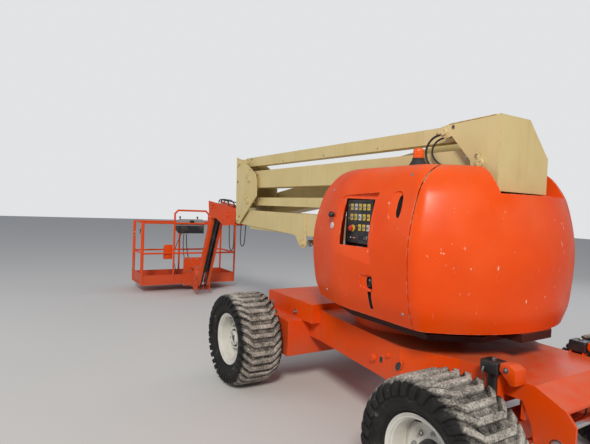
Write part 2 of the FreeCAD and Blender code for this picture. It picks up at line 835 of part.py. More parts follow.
def tail_cover():
    keep = block(-BIG, seam, -BIG, BIG, 0, BIG)
    tail = outer_cover.common(keep)
    notch = block(-BIG, seam + 1, -size.slot_half, size.slot_half, size.notch_floor, BIG)
    mast_room = block(-size.mast_back, seam + 1, -size.slot_half, size.slot_half, 0, BIG)
    return tail.cut(notch).cut(mast_room)


store("tail_cover", tail_cover())


def turntable():
    bed = [(-930, -340), (-740, -620), (0, -625), (420, -470), (420, 470), (0, 625), (-740, 620), (-930, 340)]
    top = size.bed_bottom + size.bed_plate
    plate = plan_profile(bed, size.bed_bottom, top)
    parts = [plate]
    for y in (size.mast_left_y, size.mast_right_y):
        outline = [(-size.mast_back, top), (-size.mast_back, size.mast_top),
                   (lower_rear[0] - 170, size.mast_top), (lower_rear[0] + 80, lower_rear[1] + 90),
                   (lower_rear[0] + 110, lower_rear[1]),
                   (-size.mast_front + 500, top + 230), (-size.mast_front + 620, top + 150),
                   (-size.mast_front + 640, top)]
        parts.append(side_profile(outline, y - size.mast_plate / 2, y + size.mast_plate / 2))
    sill_top = size.hood_bottom - size.running_gap
    bottom = COVER_SECTIONS[0]
    ring_outer = Part.Face(cover_outline((top,) + bottom[1:], size.sill_inset))
    ring_inner = Part.Face(cover_outline((top,) + bottom[1:], size.sill_inset + size.sill_width))
    sill = ring_outer.cut(ring_inner).extrude(vec(0, 0, sill_top - top))
    sill_keep = block(seam + 20, BIG, -BIG, BIG, 0, BIG)
    parts.append(sill.common(sill_keep))
    # the counterweight's rib carries the tail cover's hem
    seat_rear = bottom[2] - size.hood_wall / 2
    parts.append(block(-seat_rear, -size.tail_seat_front, -size.tail_seat_half, size.tail_seat_half,
                       size.bed_bottom + size.bed_plate / 2, sill_top))
    slot = block(COVER_TAPER_X + 300, BIG, -size.slot_half + 60, size.slot_half - 60, top, BIG)
    frame = fuse(parts).cut(slot)
    hinge_top = size.hood_hinge_high + size.hood_hinge_strap + 10
    for side in (-1, 1):
        pin = post(size.hood_hinge_x, side * size.hood_hinge_y, size.hood_hinge_pin, top - 1, hinge_top)
        frame = frame.fuse(pin)
    for pin, radius in ((lower_rear, size.pin_radius), (link_rear, size.pin_radius),
                        (tower_foot, size.cylinder_pin)):
        frame = frame.fuse(cross_pin(pin[0], pin[1], radius, size.mast_right_y - size.mast_plate / 2,
                                     size.mast_left_y + size.mast_plate / 2))
    return frame.removeSplitter()


store("turntable_frame", turntable())

keep(bound_box("engine_block", ("block_seam_gap - hood_seam_x", "-slot_half - engine_slot_gap - engine_width",
                                "bed_top"), "engine_length", "engine_width", "engine_height"))
keep(bound_box("hydraulic_tank", ("block_seam_gap - hood_seam_x", "slot_half + tank_slot_gap", "bed_top"),
               "tank_length", "tank_width", "tank_height"))


def ground_panel():
    inset = 12
    x0 = -size.panel_x - size.panel_width / 2 + inset
    x1 = -size.panel_x + size.panel_width / 2 - inset
    y = size.panel_face_y - size.panel_depth
    tank_face = size.slot_half + size.tank_slot_gap + size.tank_width
    face = block(x0, x1, y, y + size.panel_depth, size.panel_low + inset,
                 size.panel_low + size.panel_height - inset)
    legs = []
    for x in (x0 + 20, x1 - 50):
        legs.append(block(x, x + 30, tank_face, y + 5, size.bed_top + size.tank_height - 60,
                          size.panel_low + size.panel_height - 60))
    return fuse([face] + legs)


store("ground_panel", ground_panel())


beacon_base = doc.addObject("Part::Cone", "beacon_base_cone")
bind(beacon_base, ("-beacon_x", "beacon_y", "cover_top"),
     {"Radius1": "beacon_base", "Radius2": "beacon_neck", "Height": "beacon_base_height"})
beacon_lens = bound_round("beacon_lens_body", ("-beacon_x", "beacon_y", "cover_top + beacon_base_height"),
                          "z", "beacon_lens", "beacon_lens_height")
keep(bound_fusion("beacon", [beacon_base, beacon_lens]))


# Tower: lower boom and link, elbow upright, mid boom and link, rear upright
def pin_hole(x, z):
    return cross_pin(x, z, size.pin_radius + size.running_gap, -BIG, BIG)


def tower_member(label, rear_x, pin_z, length, width, height, wall):
    """A box tube between two pins with round pinned ends; every value is a formula of the sheet."""
    low = "tower_y - %s / 2" % width
    outer = bound_box(label + "_outer",
                      ("%s + 0.2 * %s" % (rear_x, height), low, "%s - %s / 2" % (pin_z, height)),
                      "%s - 0.4 * %s" % (length, height), width, height)
    inner = bound_box(label + "_inner", ("%s + 0.2 * %s - 1" % (rear_x, height), "%s + %s" % (low, wall),
                                         "%s - %s / 2 + %s" % (pin_z, height, wall)),
                      "%s - 0.4 * %s + 2" % (length, height), "%s - 2 * %s" % (width, wall),
                      "%s - 2 * %s" % (height, wall))
    tube = bound_cut(label + "_tube", outer, inner)
    ends = []
    holes = []
    for name, x in (("rear", rear_x), ("front", "%s + %s" % (rear_x, length))):
        ends.append(bound_round("%s_%s_end" % (label, name), (x, low, pin_z), "y", height + " / 2", width))
        holes.append(bound_round("%s_%s_hole" % (label, name), (x, low + " - 1", pin_z), "y",
                                 "pin_radius + running_gap", width + " + 2"))
    body = bound_fusion(label + "_body", [tube] + ends)
    return keep(bound_cut(label, body, bound_fusion(label + "_holes", holes)))


# front plates of the lower boom: x from the lift lug or from the front pin, height above the pins
LIFT_KNEE = [(-12, 100), (8, 113), (238, -113), (158, -125), (78, -215), (18, -245), (-32, -235), (-57, -190),
             (-32, -100)]
LOWER_NOSE = [(-250, 120), (-60, 20), (45, -30), (20, -62), (-60, -70)]


def lower_boom():
    y = size.tower_y
    height = size.lower_height
    z = lower_rear[1]
    tube = tube_x(lower_rear[0] - 20, lower_front[0] - 270, y, z, size.tower_width, height, size.lower_wall)
    front_x = lower_front[0]
    outline = [(lift_lug[0] + dx, z + dz) for dx, dz in LIFT_KNEE[:2]]
    outline += [(front_x + dx, z + dz) for dx, dz in LOWER_NOSE]
    outline += [(lift_lug[0] + dx, z + dz) for dx, dz in LIFT_KNEE[2:]]
    plates = []
    for y0 in (y - size.tower_width / 2 - size.side_plate, y + size.tower_width / 2):
        plates.append(side_profile(outline, y0, y0 + size.side_plate))
    ends = [cross_pin(lower_rear[0], z, height / 2, y - size.tower_width / 2, y + size.tower_width / 2),
            cross_pin(front_x, z, 60, y - size.tower_width / 2 - 1, y + size.tower_width / 2 + 1)]
    bridge = block(front_x - 280, front_x - 20, y - size.tower_width / 2, y + size.tower_width / 2, z - 60,
                   z + 10)
    solid = fuse([tube, bridge] + ends + plates)
    solid = solid.cut(pin_hole(lower_rear[0], z)).cut(pin_hole(front_x, z))
    solid = solid.cut(block(-2000, 0, size.mast_left_y - size.mast_plate / 2 - 1, 1000, 0, 3000))
    return solid


store("lower_boom", lower_boom())
# name, rear pin's x and height, distance between the pins, width, height, wall
TOWER_MEMBERS = [
    ("lower_link", "link_rear_x", "link_pin_z", "lower_length", "lower_link_width", "lower_link_height",
     "link_wall"),
    ("mid_boom", "mid_rear_x", "mid_pin_z", "mid_length", "tower_width", "mid_height", "mid_wall"),
    ("top_link", "top_rear_x", "top_pin_z", "mid_length", "top_link_width", "top_link_height", "link_wall"),
]
for member in TOWER_MEMBERS:
    tower_member(*member)

# elbow upright outline: x from the lower boom's front pin, height above it
ELBOW_OUTLINE = [(100, 815), (-160, 725), (-330, 645), (-460, 565), (-500, 465), (-510, 295), (-40, -68),
                 (40, -60), (60, -20)]


def elbow_upright():
    left = size.tower_side_y
    right = size.middle_plate_y
    x, z = lower_front
    outline = [(x + dx, z + dz) for dx, dz in ELBOW_OUTLINE]
    parts = [side_profile(outline, left - size.side_plate, left),
             side_profile(outline, right - size.side_plate, right)]
    web_x = x + 68
    parts.append(block(web_x, web_x + 12, right - 1, left - size.side_plate + 1, z + 150, z + 790))
    for pin in (lower_front, link_front, mid_front, top_front):
        parts.append(cross_pin(pin[0], pin[1], size.pin_radius, right - size.side_plate, left))
    return fuse(parts)


store("front_upright", elbow_upright())


# rear upright's plates: x from the mid boom's rear pin, height above it
UPRIGHT_LEFT = [(-130, -180), (-130, 300), (262, 285), (335, 272), (345, 215), (300, 188), (240, 200),
                (80, 20), (80, -130), (40, -180)]
UPRIGHT_MIDDLE = [(-130, -180), (-130, 300), (262, 285), (335, 272), (345, 215), (300, 188), (285, 150),
                  (285, -180)]
UPRIGHT_RIGHT = [(-130, -180), (-130, 60), (20, 270), (180, 230), (220, 100), (285, -60), (285, -180)]


def rear_upright():
    left = size.tower_side_y
    middle = size.middle_plate_y
    x, z = mid_rear
    plates = []
    for outline, inner in ((UPRIGHT_LEFT, left - size.side_plate), (UPRIGHT_MIDDLE, middle - size.side_plate),
                           (UPRIGHT_RIGHT, -left)):
        placed = [(x + dx, z + dz) for dx, dz in outline]
        plates.append(side_profile(placed, inner, inner + size.side_plate))
    back = block(x - 130, x - 120, -left, left, z - 180, z + 300)
    corner = plan_free_corner(x, z, left)
    back = back.cut(corner)
    roof = side_profile([(x - 130, z + 300), (x + 240, z + 286), (x + 240, z + 278), (x - 130, z + 292)],
                        middle - 1, left - size.side_plate + 1)
    pins = [cross_pin(mid_rear[0], mid_rear[1], size.pin_radius, middle - size.side_plate, left),
            cross_pin(top_rear[0], top_rear[1], size.pin_radius, middle - size.side_plate, left),
            cross_pin(main_pivot[0], main_pivot[1], size.pin_radius, -left, middle),
            cross_pin(main_foot[0], main_foot[1], size.main_foot_pin, -left, middle)]
    return fuse(plates + [back, roof] + pins)


def plan_free_corner(x, z, left):
    """The corner that the rear plate lacks over the main boom."""
    points = [(-left - 1, z + 60), (-left + 230, z + 301), (-left - 1, z + 301)]
    ring = [vec(x - 140, y, h) for y, h in points]
    return Part.Face(Part.makePolygon(ring + ring[:1])).extrude(vec(40, 0, 0))


store("rear_upright", rear_upright())


# Main boom and its fly section, drawn level and then leaned to the boom's slope
def main_boom():
    x, z = main_pivot
    y = size.main_y
    tube = tube_x(x - size.main_tail, x + size.main_length, y, z, size.main_width, size.main_height,
                  size.main_wall)
    boss_half = size.main_width / 2 + size.boss_proud
    boss = cross_pin(x, z, size.boss_radius, y - boss_half, y + boss_half)
    # wear pads at the mouth, round the fly section
    mouth = x + size.main_length
    outer = block(mouth - size.wear_pad, mouth, y - size.main_width / 2, y + size.main_width / 2,
                  z - size.main_height / 2, z + size.main_height / 2)
    gap = size.running_gap
    half = size.fly_width / 2 + gap
    inner = block(mouth - size.wear_pad - 1, mouth + 1, y - half, y + half,
                  z - size.fly_height / 2 - gap, z + size.fly_height / 2 + gap)
    root = z - size.main_height / 2 + 1
    tip = z - size.main_lug_drop - size.main_lug_edge
    middle = x + size.main_lug_fore
    outline = [(middle - 3 * size.main_lug_half, root), (middle + 3 * size.main_lug_half, root),
               (middle + size.main_lug_half, tip), (middle - size.main_lug_half, tip)]
    inner_face = size.main_lug_gap / 2
    outer_face = inner_face + size.main_lug_plate
    lugs = [side_profile(outline, y - outer_face, y - inner_face),
            side_profile(outline, y + inner_face, y + outer_face)]
    solid = fuse([tube, boss, outer.cut(inner)] + lugs).cut(pin_hole(x, z))
    return lean(solid, main_pivot, -size.main_slope)


store("main_boom", main_boom())


def fly_boom():
    x, z = main_pivot
    y = size.main_y
    nose = x + size.main_reach
    start = x + size.main_length - size.fly_kept - size.fly_stroke
    tube = tube_x(start, nose - 40, y, z, size.fly_width, size.fly_height, size.fly_wall)
    eye_shape = cross_pin(nose, z, size.fly_height / 2 - 5, y - size.fly_width / 2, y + size.fly_width / 2)
    return lean(fuse([tube, eye_shape]).cut(pin_hole(nose, z)), main_pivot, -size.main_slope)


store("fly_boom", fly_boom())


# jib bracket's plates: x from the fly boom's nose pin, height above it
BRACKET_OUTLINE = [(-272, 124), (827, 227), (790, 20), (715, -62), (474, -54), (143, -160), (-266, -126)]


def jib_bracket():
    x, z = level_pin
    y = size.main_y
    half = size.bracket_half
    outline = [(x + dx, z + dz) for dx, dz in BRACKET_OUTLINE]
    plates = [side_profile(outline, y - half, y - half + size.side_plate),
              side_profile(outline, y + half - size.side_plate, y + half)]
    web = side_profile([(x + 200, z + 158), (x + 560, z + 192), (x + 560, z + 180), (x + 200, z + 146)],
                       y - half + 1, y + half - 1)
    low_web = side_profile([(x + 200, z - 130), (x + 440, z - 55), (x + 440, z - 43), (x + 200, z - 118)],
                           y - half + 1, y + half - 1)
    pins = [cross_pin(x, z, size.pin_radius, y - half, y + half),
            cross_pin(jib_link_pin[0], jib_link_pin[1], size.link_pin, y - size.link_pin_half,
                      y + size.link_pin_half)]
    # two hangers between the jib's rails carry the link's pin
    px, pz = jib_link_pin
    hanger = [(x + 440, z + 176), (x + 556, z + 187), (px - 10, pz + 30), (px + 28, pz + 12),
              (px + 24, pz - 20), (px - 14, pz - 28), (px - 150, pz + 40)]
    inner = size.rail_half - size.rail_width
    for side in (-1, 1):
        y0, y1 = sorted((y + side * inner, y + side * half))
        pins.append(cross_pin(jib_pin[0], jib_pin[1], size.jib_pin_radius, y0, y1))
        y0, y1 = sorted((y + side * size.hanger_inner, y + side * (size.hanger_inner + size.hanger_plate)))
        pins.append(side_profile(hanger, y0, y1))
    return fuse(plates + [web, low_web] + pins)


store("jib_bracket", jib_bracket())


def jib_member(start, length, depth, y_inner, y_outer, hole):
    """A pair of side members between two pins, drawn level and leaned down."""
    x, z = start
    parts = []
    for side in (-1, 1):
        y0, y1 = sorted((size.main_y + side * y_inner, size.main_y + side * y_outer))
        bar = block(x, x + length, y0, y1, z - depth / 2, z + depth / 2)
        bar = fuse([bar, cross_pin(x, z, depth / 2, y0, y1), cross_pin(x + length, z, depth / 2, y0, y1)])
        for hx in (x, x + length):
            bar = bar.cut(cross_pin(hx, z, hole + size.running_gap, y0 - 1, y1 + 1))
        parts.append(bar)
    return parts


rails = jib_member(jib_pin, size.jib_length, size.rail_depth, size.rail_half - size.rail_width,
                   size.rail_half, size.jib_pin_radius)
x, z = jib_pin
cover = block(x + size.jib_cover_inset, x + size.jib_length - size.jib_cover_inset,
              size.main_y - size.rail_half + 1, size.main_y + size.rail_half - 1,
              z + size.rail_depth / 2 - size.jib_cover_plate, z + size.rail_depth / 2)
store("jib_arm", lean(fuse(rails + [cover]), jib_pin, -size.jib_slope))
links = jib_member(jib_link_pin, size.jib_length, size.jib_link_depth,
                   size.jib_link_half - size.jib_link_plate, size.jib_link_half, size.link_pin)
store("jib_link", lean(Part.makeCompound(links), jib_link_pin, -size.jib_slope))


def platform_support():
    y = size.main_y
    half = size.bracket_half
    x, z = foot_pin
    relief_x = rotator_x - size.rotator_relief
    relief_z = size.rotator_low + size.rotator_relief_gap
    outline = [(x - 55, z - size.jib_link_drop - 25), (x - 55, z + 60), (x + 60, z + 60), (x + 130, z + 110),
               (rotator_x, z + 110), (rotator_x, relief_z), (relief_x, relief_z),
               (relief_x - 25, z - size.jib_link_drop - 10), (x + 120, z - size.jib_link_drop - 25)]
    plates = [side_profile(outline, y - half, y - half + size.side_plate),
              side_profile(outline, y + half - size.side_plate, y + half)]
    web_x = rotator_x - 130
    web = block(web_x, web_x + 70, y - half + 1, y + half - 1, size.rotator_low, z + 105)
    px, pz = foot_link_pin
    hanger = [(px - 26, pz + 8), (px - 12, pz + 28), (px + 30, pz + 40), (web_x + 1, z + 40),
              (web_x + 1, size.rotator_low), (px + 30, pz - 26), (px - 20, pz - 20)]
    pins = []
    for side in (-1, 1):
        y0, y1 = sorted((y + side * size.hanger_inner, y + side * size.link_pin_half))
        pins.append(cross_pin(px, pz, size.link_pin, y0, y1))
        y0, y1 = sorted((y + side * size.hanger_inner, y + side * (size.hanger_inner + size.hanger_plate)))
        pins.append(side_profile(hanger, y0, y1))
        y0, y1 = sorted((y + side * (size.rail_half - size.rail_width), y + side * half))
        pins.append(cross_pin(foot_pin[0], foot_pin[1], size.jib_pin_radius, y0, y1))
    housing = post(rotator_x, y, size.rotator_radius, size.rotator_low, size.rotator_high)
    return fuse(plates + [web, housing] + pins)


store("platform_support", platform_support())


# Cylinders: barrel on the first pin, rod to the second
def cylinder(start, end, y, barrel_radius, rod_radius, barrel_share, eye_half, pin):
    length = math.hypot(end[0] - start[0], end[1] - start[1])
    slope = math.degrees(math.atan2(end[1] - start[1], end[0] - start[0]))
    x, z = start
    barrel_end = x + length * barrel_share
    eye_radius = pin + size.eye_wall
    along = vec(1, 0, 0)
    start_x = x + eye_radius
    barrel = Part.makeCylinder(barrel_radius, barrel_end - start_x, vec(start_x, y, z), along)
    bore = Part.makeCylinder(rod_radius + size.running_gap, barrel_end - x,
                             vec(start_x + size.cylinder_base, y, z), along)
    lug = block(x, start_x + size.eye_wall / 2, y - eye_half, y + eye_half, z - eye_radius, z + eye_radius)
    barrel = fuse([barrel.cut(bore), lug, cross_pin(x, z, eye_radius, y - eye_half, y + eye_half)])
    barrel = barrel.cut(cross_pin(x, z, pin + size.running_gap, y - 500, y + 500))
    far = x + length
    rod_start = start_x + size.cylinder_base + size.cylinder_rest
    rod = Part.makeCylinder(rod_radius, far - rod_start, vec(rod_start, y, z), along)
    rod = fuse([rod, cross_pin(far, z, eye_radius, y - eye_half, y + eye_half)])
    return lean(barrel, start, slope), lean(rod, start, slope)


CYLINDERS = [
    # name, foot, head, y, barrel radius, rod radius, barrel's share of the length, half the eye's width, pin
    ("tower", tower_foot, lift_lug, size.tower_y, 52, 32, 0.9, 40, size.cylinder_pin),
    ("main", main_foot, main_head, size.main_y, 45, 28, 0.9, 30, size.main_foot_pin),
    ("jib", jib_link_pin, foot_pin, size.main_y, 30, 18, 0.82, 24, size.link_pin),
]
for name, *values in CYLINDERS:
    barrel, rod = cylinder(*values)
    store(name + "_cylinder_barrel", barrel)
    store(name + "_cylinder_rod", rod)


# Platform
def tube_run(points, radius, round_bends=False):
    """Straight tubes from point to point, thinner across the platform; free bends get a ball."""
    shapes = []
    for a, b in zip(points, points[1:]):
        across = abs(b.y - a.y) > abs(b.x - a.x) and a.z == b.z
        shapes.append(rod_between(a, b, size.basket_cross_tube if across and not round_bends else radius))
    if round_bends:
        shapes += [Part.makeSphere(radius, point) for point in points[1:-1]]
    return shapes


gate_front = basket_far - size.gate_inset
gate_back = gate_front - size.gate_width


def basket():
    r = size.basket_tube
    upright = size.basket_post
    x0 = basket_near + upright
    x1 = basket_far - upright
    y0 = basket_right + upright
    y1 = basket_left - upright
    floor_top = size.basket_floor + size.floor_plate
    inset = size.floor_inset
    floor = block(basket_near + inset, basket_far - inset, basket_right + inset, basket_left - inset,
                  size.basket_floor, floor_top)
    parts = [floor]
    toe = floor_top + size.toe_height
    t = size.toe_plate / 2
    post_top = size.rail_top + r - size.post_top_drop
    # toe boards stand between the posts, on their centre lines
    for box in ((x0 - t, x0 + t, y0, y1), (x1 - t, x1 + t, y0, y1), (x0, x1, y0 - t, y0 + t),
                (x0, gate_back - size.gate_post_gap, y1 - t, y1 + t),
                (gate_front + size.gate_post_gap, x1, y1 - t, y1 + t)):
        parts.append(block(box[0], box[1], box[2], box[3], floor_top - 1, toe))
    for x, y in ((x0, y0), (x0, y1), (x1, y0), (x1, y1), (x0, -size.hoop_half + size.basket_y),
                 (x0, size.hoop_half + size.basket_y), (x1, size.basket_y)):
        parts.append(post(x, y, upright, size.basket_floor + size.floor_plate / 2, post_top))
    for x in (gate_back - size.gate_post_gap, gate_front + size.gate_post_gap):
        parts.append(post(x, y1, upright, size.basket_floor + size.floor_plate / 2, post_top))
    tab_reach = size.gate_tube + size.running_gap - size.gate_gap
    for z in (size.rail_middle - size.gate_tab_spread, size.rail_middle + size.gate_tab_spread):
        parts.append(block(gate_front + tab_reach, gate_front + size.gate_post_gap, y1 - size.gate_tab / 4,
                           y1 + size.gate_tab / 4, z, z + size.gate_tab))
    for z in (size.rail_middle, size.rail_top):
        loop = [vec(gate_back - size.gate_post_gap, y1, z), vec(x0, y1, z), vec(x0, y0, z), vec(x1, y0, z),
                vec(x1, y1, z), vec(gate_front + size.gate_post_gap, y1, z)]
        parts += tube_run(loop, r)
    # the hoop over the controls, with cut corners
    half = size.hoop_half
    cut = size.hoop_corner
    middle = size.basket_y
    top = size.hoop_top - r
    hoop = [(-half, size.rail_top), (-half, top - cut), (-half + cut, top), (half - cut, top),
            (half, top - cut), (half, size.rail_top)]
    parts += tube_run([vec(x0, middle + y, z) for y, z in hoop], r, round_bends=True)
    return fuse(parts)


store("basket", basket())


def platform_mount():
    """The two arms and the plate that hold the platform on the rotator's head and sole."""
    y = size.main_y
    half = size.mount_arm_width / 2
    face = basket_near + size.floor_inset - size.running_gap
    arms = []
    for z0, z1 in ((size.rotator_high + size.running_gap, size.rotator_high + size.mount_arm),
                   (size.rotator_low - size.mount_arm, size.rotator_low - size.running_gap)):
        arms.append(block(rotator_x, face - 1, y - half, y + half, z0, z1))
        arms.append(post(rotator_x, y, size.rotator_radius, z0, z1))
    plate = block(face - size.mount_plate, face, y - size.mount_plate_half, y + size.mount_plate_half,
                  size.rotator_low - size.mount_arm, size.rotator_high + size.mount_plate_rise)
    return fuse(arms + [plate])


store("platform_mount", platform_mount())


def gate():
    r = size.gate_tube
    y = basket_left - size.basket_post
    back = gate_back + size.gate_gap
    front = gate_front - size.gate_gap
    low = size.basket_floor + size.floor_plate + size.gate_floor_gap
    high = size.rail_top - (size.basket_tube - r)
    parts = [post(back, y, r, low - r, high + r), post(front, y, r, low - r, high + r)]
    for z in (low, size.rail_middle, high):
        parts.append(rod_between(vec(back, y, z), vec(front, y, z), r))
    plate = size.toe_plate / 2
    parts.append(block(back, front, y - plate, y + plate, low, low + size.toe_height))
    return fuse(parts)


store("gate", gate())


def console():
    x0 = basket_near + 2 * size.basket_post + size.running_gap
    y = size.basket_y
    half = size.console_width / 2
    outline = [(x0, size.console_low), (x0, size.console_high), (x0 + 60, size.console_high + 20),
               (x0 + size.console_depth, size.console_high - 90),
               (x0 + size.console_depth, size.console_low + 60)]
    body = side_profile(outline, y - half, y + half)
    seat = size.rail_top + size.basket_cross_tube
    hooks = block(x0 - size.console_hook, x0 + 1, y - size.console_hook, y + size.console_hook, seat,
                  size.console_high)
    return fuse([body, hooks])


store("console", console())

doc.recompute()
problems = []
for item in doc.Objects:
    if "Invalid" in item.State or "Error" in item.State:
        problems.append("%s is %s" % (item.Label, item.State))
for item in sub_parts:
    if item.Shape.isNull() or not item.Shape.isValid():
        problems.append("%s has no valid shape" % item.Label)
if problems:
    raise SystemExit("\n".join(problems))

os.makedirs("parts", exist_ok=True)
for item in sub_parts:
    item.Shape.exportStep(os.path.join("parts", item.Label + ".step"))
    box = item.Shape.BoundBox
    print("%-24s solids %2d  %8.1f %8.1f %8.1f  %8.1f %8.1f %8.1f" % (
        item.Label, len(item.Shape.Solids), box.XMin, box.YMin, box.ZMin, box.XMax, box.YMax, box.ZMax))
print("slew axis at x =", round(slew_x, 3))
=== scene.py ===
import bmesh
import bpy
import math
import random
from mathutils import Matrix, Vector, noise


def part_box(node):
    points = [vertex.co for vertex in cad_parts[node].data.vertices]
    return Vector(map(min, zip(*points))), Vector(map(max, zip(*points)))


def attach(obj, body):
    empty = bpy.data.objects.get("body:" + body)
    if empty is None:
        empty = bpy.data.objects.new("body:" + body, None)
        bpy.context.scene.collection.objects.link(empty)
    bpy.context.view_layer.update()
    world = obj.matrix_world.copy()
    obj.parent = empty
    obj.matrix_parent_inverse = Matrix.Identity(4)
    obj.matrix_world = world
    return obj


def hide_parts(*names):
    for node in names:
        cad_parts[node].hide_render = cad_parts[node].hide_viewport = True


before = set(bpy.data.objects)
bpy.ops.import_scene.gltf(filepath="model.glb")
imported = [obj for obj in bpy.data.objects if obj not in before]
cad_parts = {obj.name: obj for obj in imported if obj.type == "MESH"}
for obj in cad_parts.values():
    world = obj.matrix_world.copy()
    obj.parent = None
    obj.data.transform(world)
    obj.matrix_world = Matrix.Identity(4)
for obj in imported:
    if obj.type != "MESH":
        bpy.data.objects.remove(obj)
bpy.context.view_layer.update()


# The stand: a pale floor under the machine, one broad soft lamp from behind the camera's right
# shoulder, two weak fills, and a pale sky all round.
def add(tree, kind, inputs=(), **settings):
    """A new node; inputs are (socket, number, colour or another node's socket)."""
    made = tree.nodes.new(kind)
    for name, value in settings.items():
        setattr(made, name, value)
    for socket, value in inputs:
        if isinstance(value, bpy.types.NodeSocket):
            tree.links.new(value, made.inputs[socket])
        else:
            made.inputs[socket].default_value = value
    return made


def new_object(name, mesh_or_curve):
    made = bpy.data.objects.new(name, mesh_or_curve)
    bpy.context.scene.collection.objects.link(made)
    return made


def mesh_data(name, mesh, finishes, smooth=None):
    """Turn a bmesh into mesh data with its finishes, smooth below an angle in degrees."""
    data = bpy.data.meshes.new(name)
    mesh.to_mesh(data)
    mesh.free()
    for finish in finishes:
        data.materials.append(finish)
    if smooth:
        data.shade_smooth()
        data.set_sharp_from_angle(angle=math.radians(smooth))
    return data


bpy.context.scene.view_settings.view_transform = "Standard"
slew_low, slew_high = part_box("slew_bearing")
SLEW_X = (slew_low.x + slew_high.x) / 2

floor_paint = bpy.data.materials.new("pale_floor")
floor_paint.use_nodes = True
floor_shader = floor_paint.node_tree.nodes["Principled BSDF"]
floor_shader.inputs["Base Color"].default_value = (0.62, 0.61, 0.59, 1)
floor_shader.inputs["Roughness"].default_value = 0.8
mesh = bmesh.new()
bmesh.ops.create_grid(mesh, x_segments=1, y_segments=1, size=40, matrix=Matrix.Translation((0, 0, -0.002)))
new_object("floor", mesh_data("floor", mesh, [floor_paint]))

world = bpy.data.worlds.new("pale_sky")
bpy.context.scene.world = world
world.use_nodes = True
sky = world.node_tree
rays = add(sky, "ShaderNodeLightPath").outputs
seen = add(sky, "ShaderNodeMath", [(0, rays["Is Camera Ray"]), (1, rays["Is Transmission Ray"])], operation="MAXIMUM")
tint = add(sky, "ShaderNodeMix", [("Factor", seen.outputs[0]), ("A", (0.36, 0.38, 0.42, 1)), ("B", (0.80, 0.81, 0.82, 1))],
           data_type="RGBA")
background = sky.nodes["Background"].inputs
sky.links.new(tint.outputs["Result"], background["Color"])
background["Strength"].default_value = 0.95

LAMPS = [
    # name, place from the slew axis, size, watts, colour
    ("key", (-11.4, 9.6, 12.0), 3.9, 2550, (1.0, 0.95, 0.88)),
    ("fill", (4.5, 8.0, 4.0), 5.0, 80, (0.86, 0.92, 1.0)),
    ("far", (3.0, -8.0, 6.0), 5.0, 115, (0.90, 0.94, 1.0)),
]
LAMPS_AIM = Vector((SLEW_X + 0.5, 0, 1.0))
for name, place, size, watts, colour in LAMPS:
    lamp = bpy.data.lights.new(name, "AREA")
    lamp.shape = "DISK"
    lamp.size = size
    lamp.energy = watts
    lamp.color = colour
    holder = new_object(name, lamp)
    holder.location = (place[0] + SLEW_X, place[1], place[2])
    holder.rotation_euler = (LAMPS_AIM - holder.location).to_track_quat("-Z", "Y").to_euler()

camera_data = bpy.data.cameras.new("camera")
camera_data.sensor_width = 36
camera_data.lens = 28.07
camera_data.clip_end = 200
camera = new_object("camera", camera_data)
YAW, PITCH, ROLL = (math.radians(a) for a in (31.81, -1.74, 2.38))
look = Vector((math.cos(YAW) * math.cos(PITCH), -math.sin(YAW) * math.cos(PITCH), math.sin(PITCH)))
right = look.cross(Vector((0, 0, 1))).normalized()
up = right.cross(look)
turn = Matrix((math.cos(ROLL) * right + math.sin(ROLL) * up, math.cos(ROLL) * up - math.sin(ROLL) * right, -look))
camera.matrix_world = Matrix.Translation((SLEW_X - 2.708, 2.841, 1.646)) @ turn.transposed().to_4x4()
bpy.context.scene.camera = camera


# Paints: the machine's orange and cream coats, sun-faded in patches, dusty on ledges, muddy low down,
# chipped to primer or steel in spots and worn along plate edges. On the covers a painted sheen, partly real fading,
# lightens the paint towards the top; on the turntable frame painted shade darkens it below the covers' hem.
class Coat:
    """A node material, with short ways to add the nodes that colour it."""

    def __init__(self, name):
        self.made = bpy.data.materials.new(name)
        self.made.use_nodes = True
        self.tree = self.made.node_tree
        self.place = self.add("ShaderNodeTexCoord").outputs["Object"]

    def add(self, kind, inputs=(), **settings):
        return add(self.tree, kind, inputs, **settings)

    def clouds(self, scale, detail=4, rough=0.55, place=None):
        return self.add("ShaderNodeTexNoise", [("Vector", place or self.place), ("Scale", scale), ("Detail", detail),
                                               ("Roughness", rough)]).outputs["Fac"]

    def stretched(self, scale):
        return self.add("ShaderNodeMapping", [("Vector", self.place), ("Scale", scale)]).outputs[0]

    def ramp(self, value, low, high, to_low=0.0, to_high=1.0):
        return self.add("ShaderNodeMapRange", [("Value", value), ("From Min", low), ("From Max", high),
                                               ("To Min", to_low), ("To Max", to_high)]).outputs[0]

    def calc(self, operation, a, b=0.5):
        return self.add("ShaderNodeMath", [(0, a), (1, b)], operation=operation).outputs[0]

    def times(self, a, b):
        return self.calc("MULTIPLY", a, b)

    def mix(self, factor, a, b):
        a, b = [c if isinstance(c, bpy.types.NodeSocket) else (*c, 1) for c in (a, b)]
        return self.add("ShaderNodeMix", [("Factor", factor), ("A", a), ("B", b)], data_type="RGBA").outputs["Result"]

    def bump(self, height, strength, distance, below=None):
        inputs = [("Height", height), ("Strength", strength), ("Distance", distance)]
        return self.add("ShaderNodeBump", inputs + ([("Normal", below)] if below else [])).outputs[0]

    def give(self, **sockets):
        """Set or link the shader's sockets, and hand over the material."""
        for name, value in sockets.items():
            socket = self.tree.nodes["Principled BSDF"].inputs[name.replace("_", " ")]
            if isinstance(value, bpy.types.NodeSocket):
                self.tree.links.new(value, socket)
            else:
                socket.default_value = value
        return self.made


STREAK_GREY = (0.16, 0.12, 0.08)
DUST = (0.46, 0.33, 0.22)
SCUFFED = (0.80, 0.58, 0.44)
FADED_SHEEN = (0.86, 0.20, 0.085)
DRIED_MUD = (0.20, 0.165, 0.13)


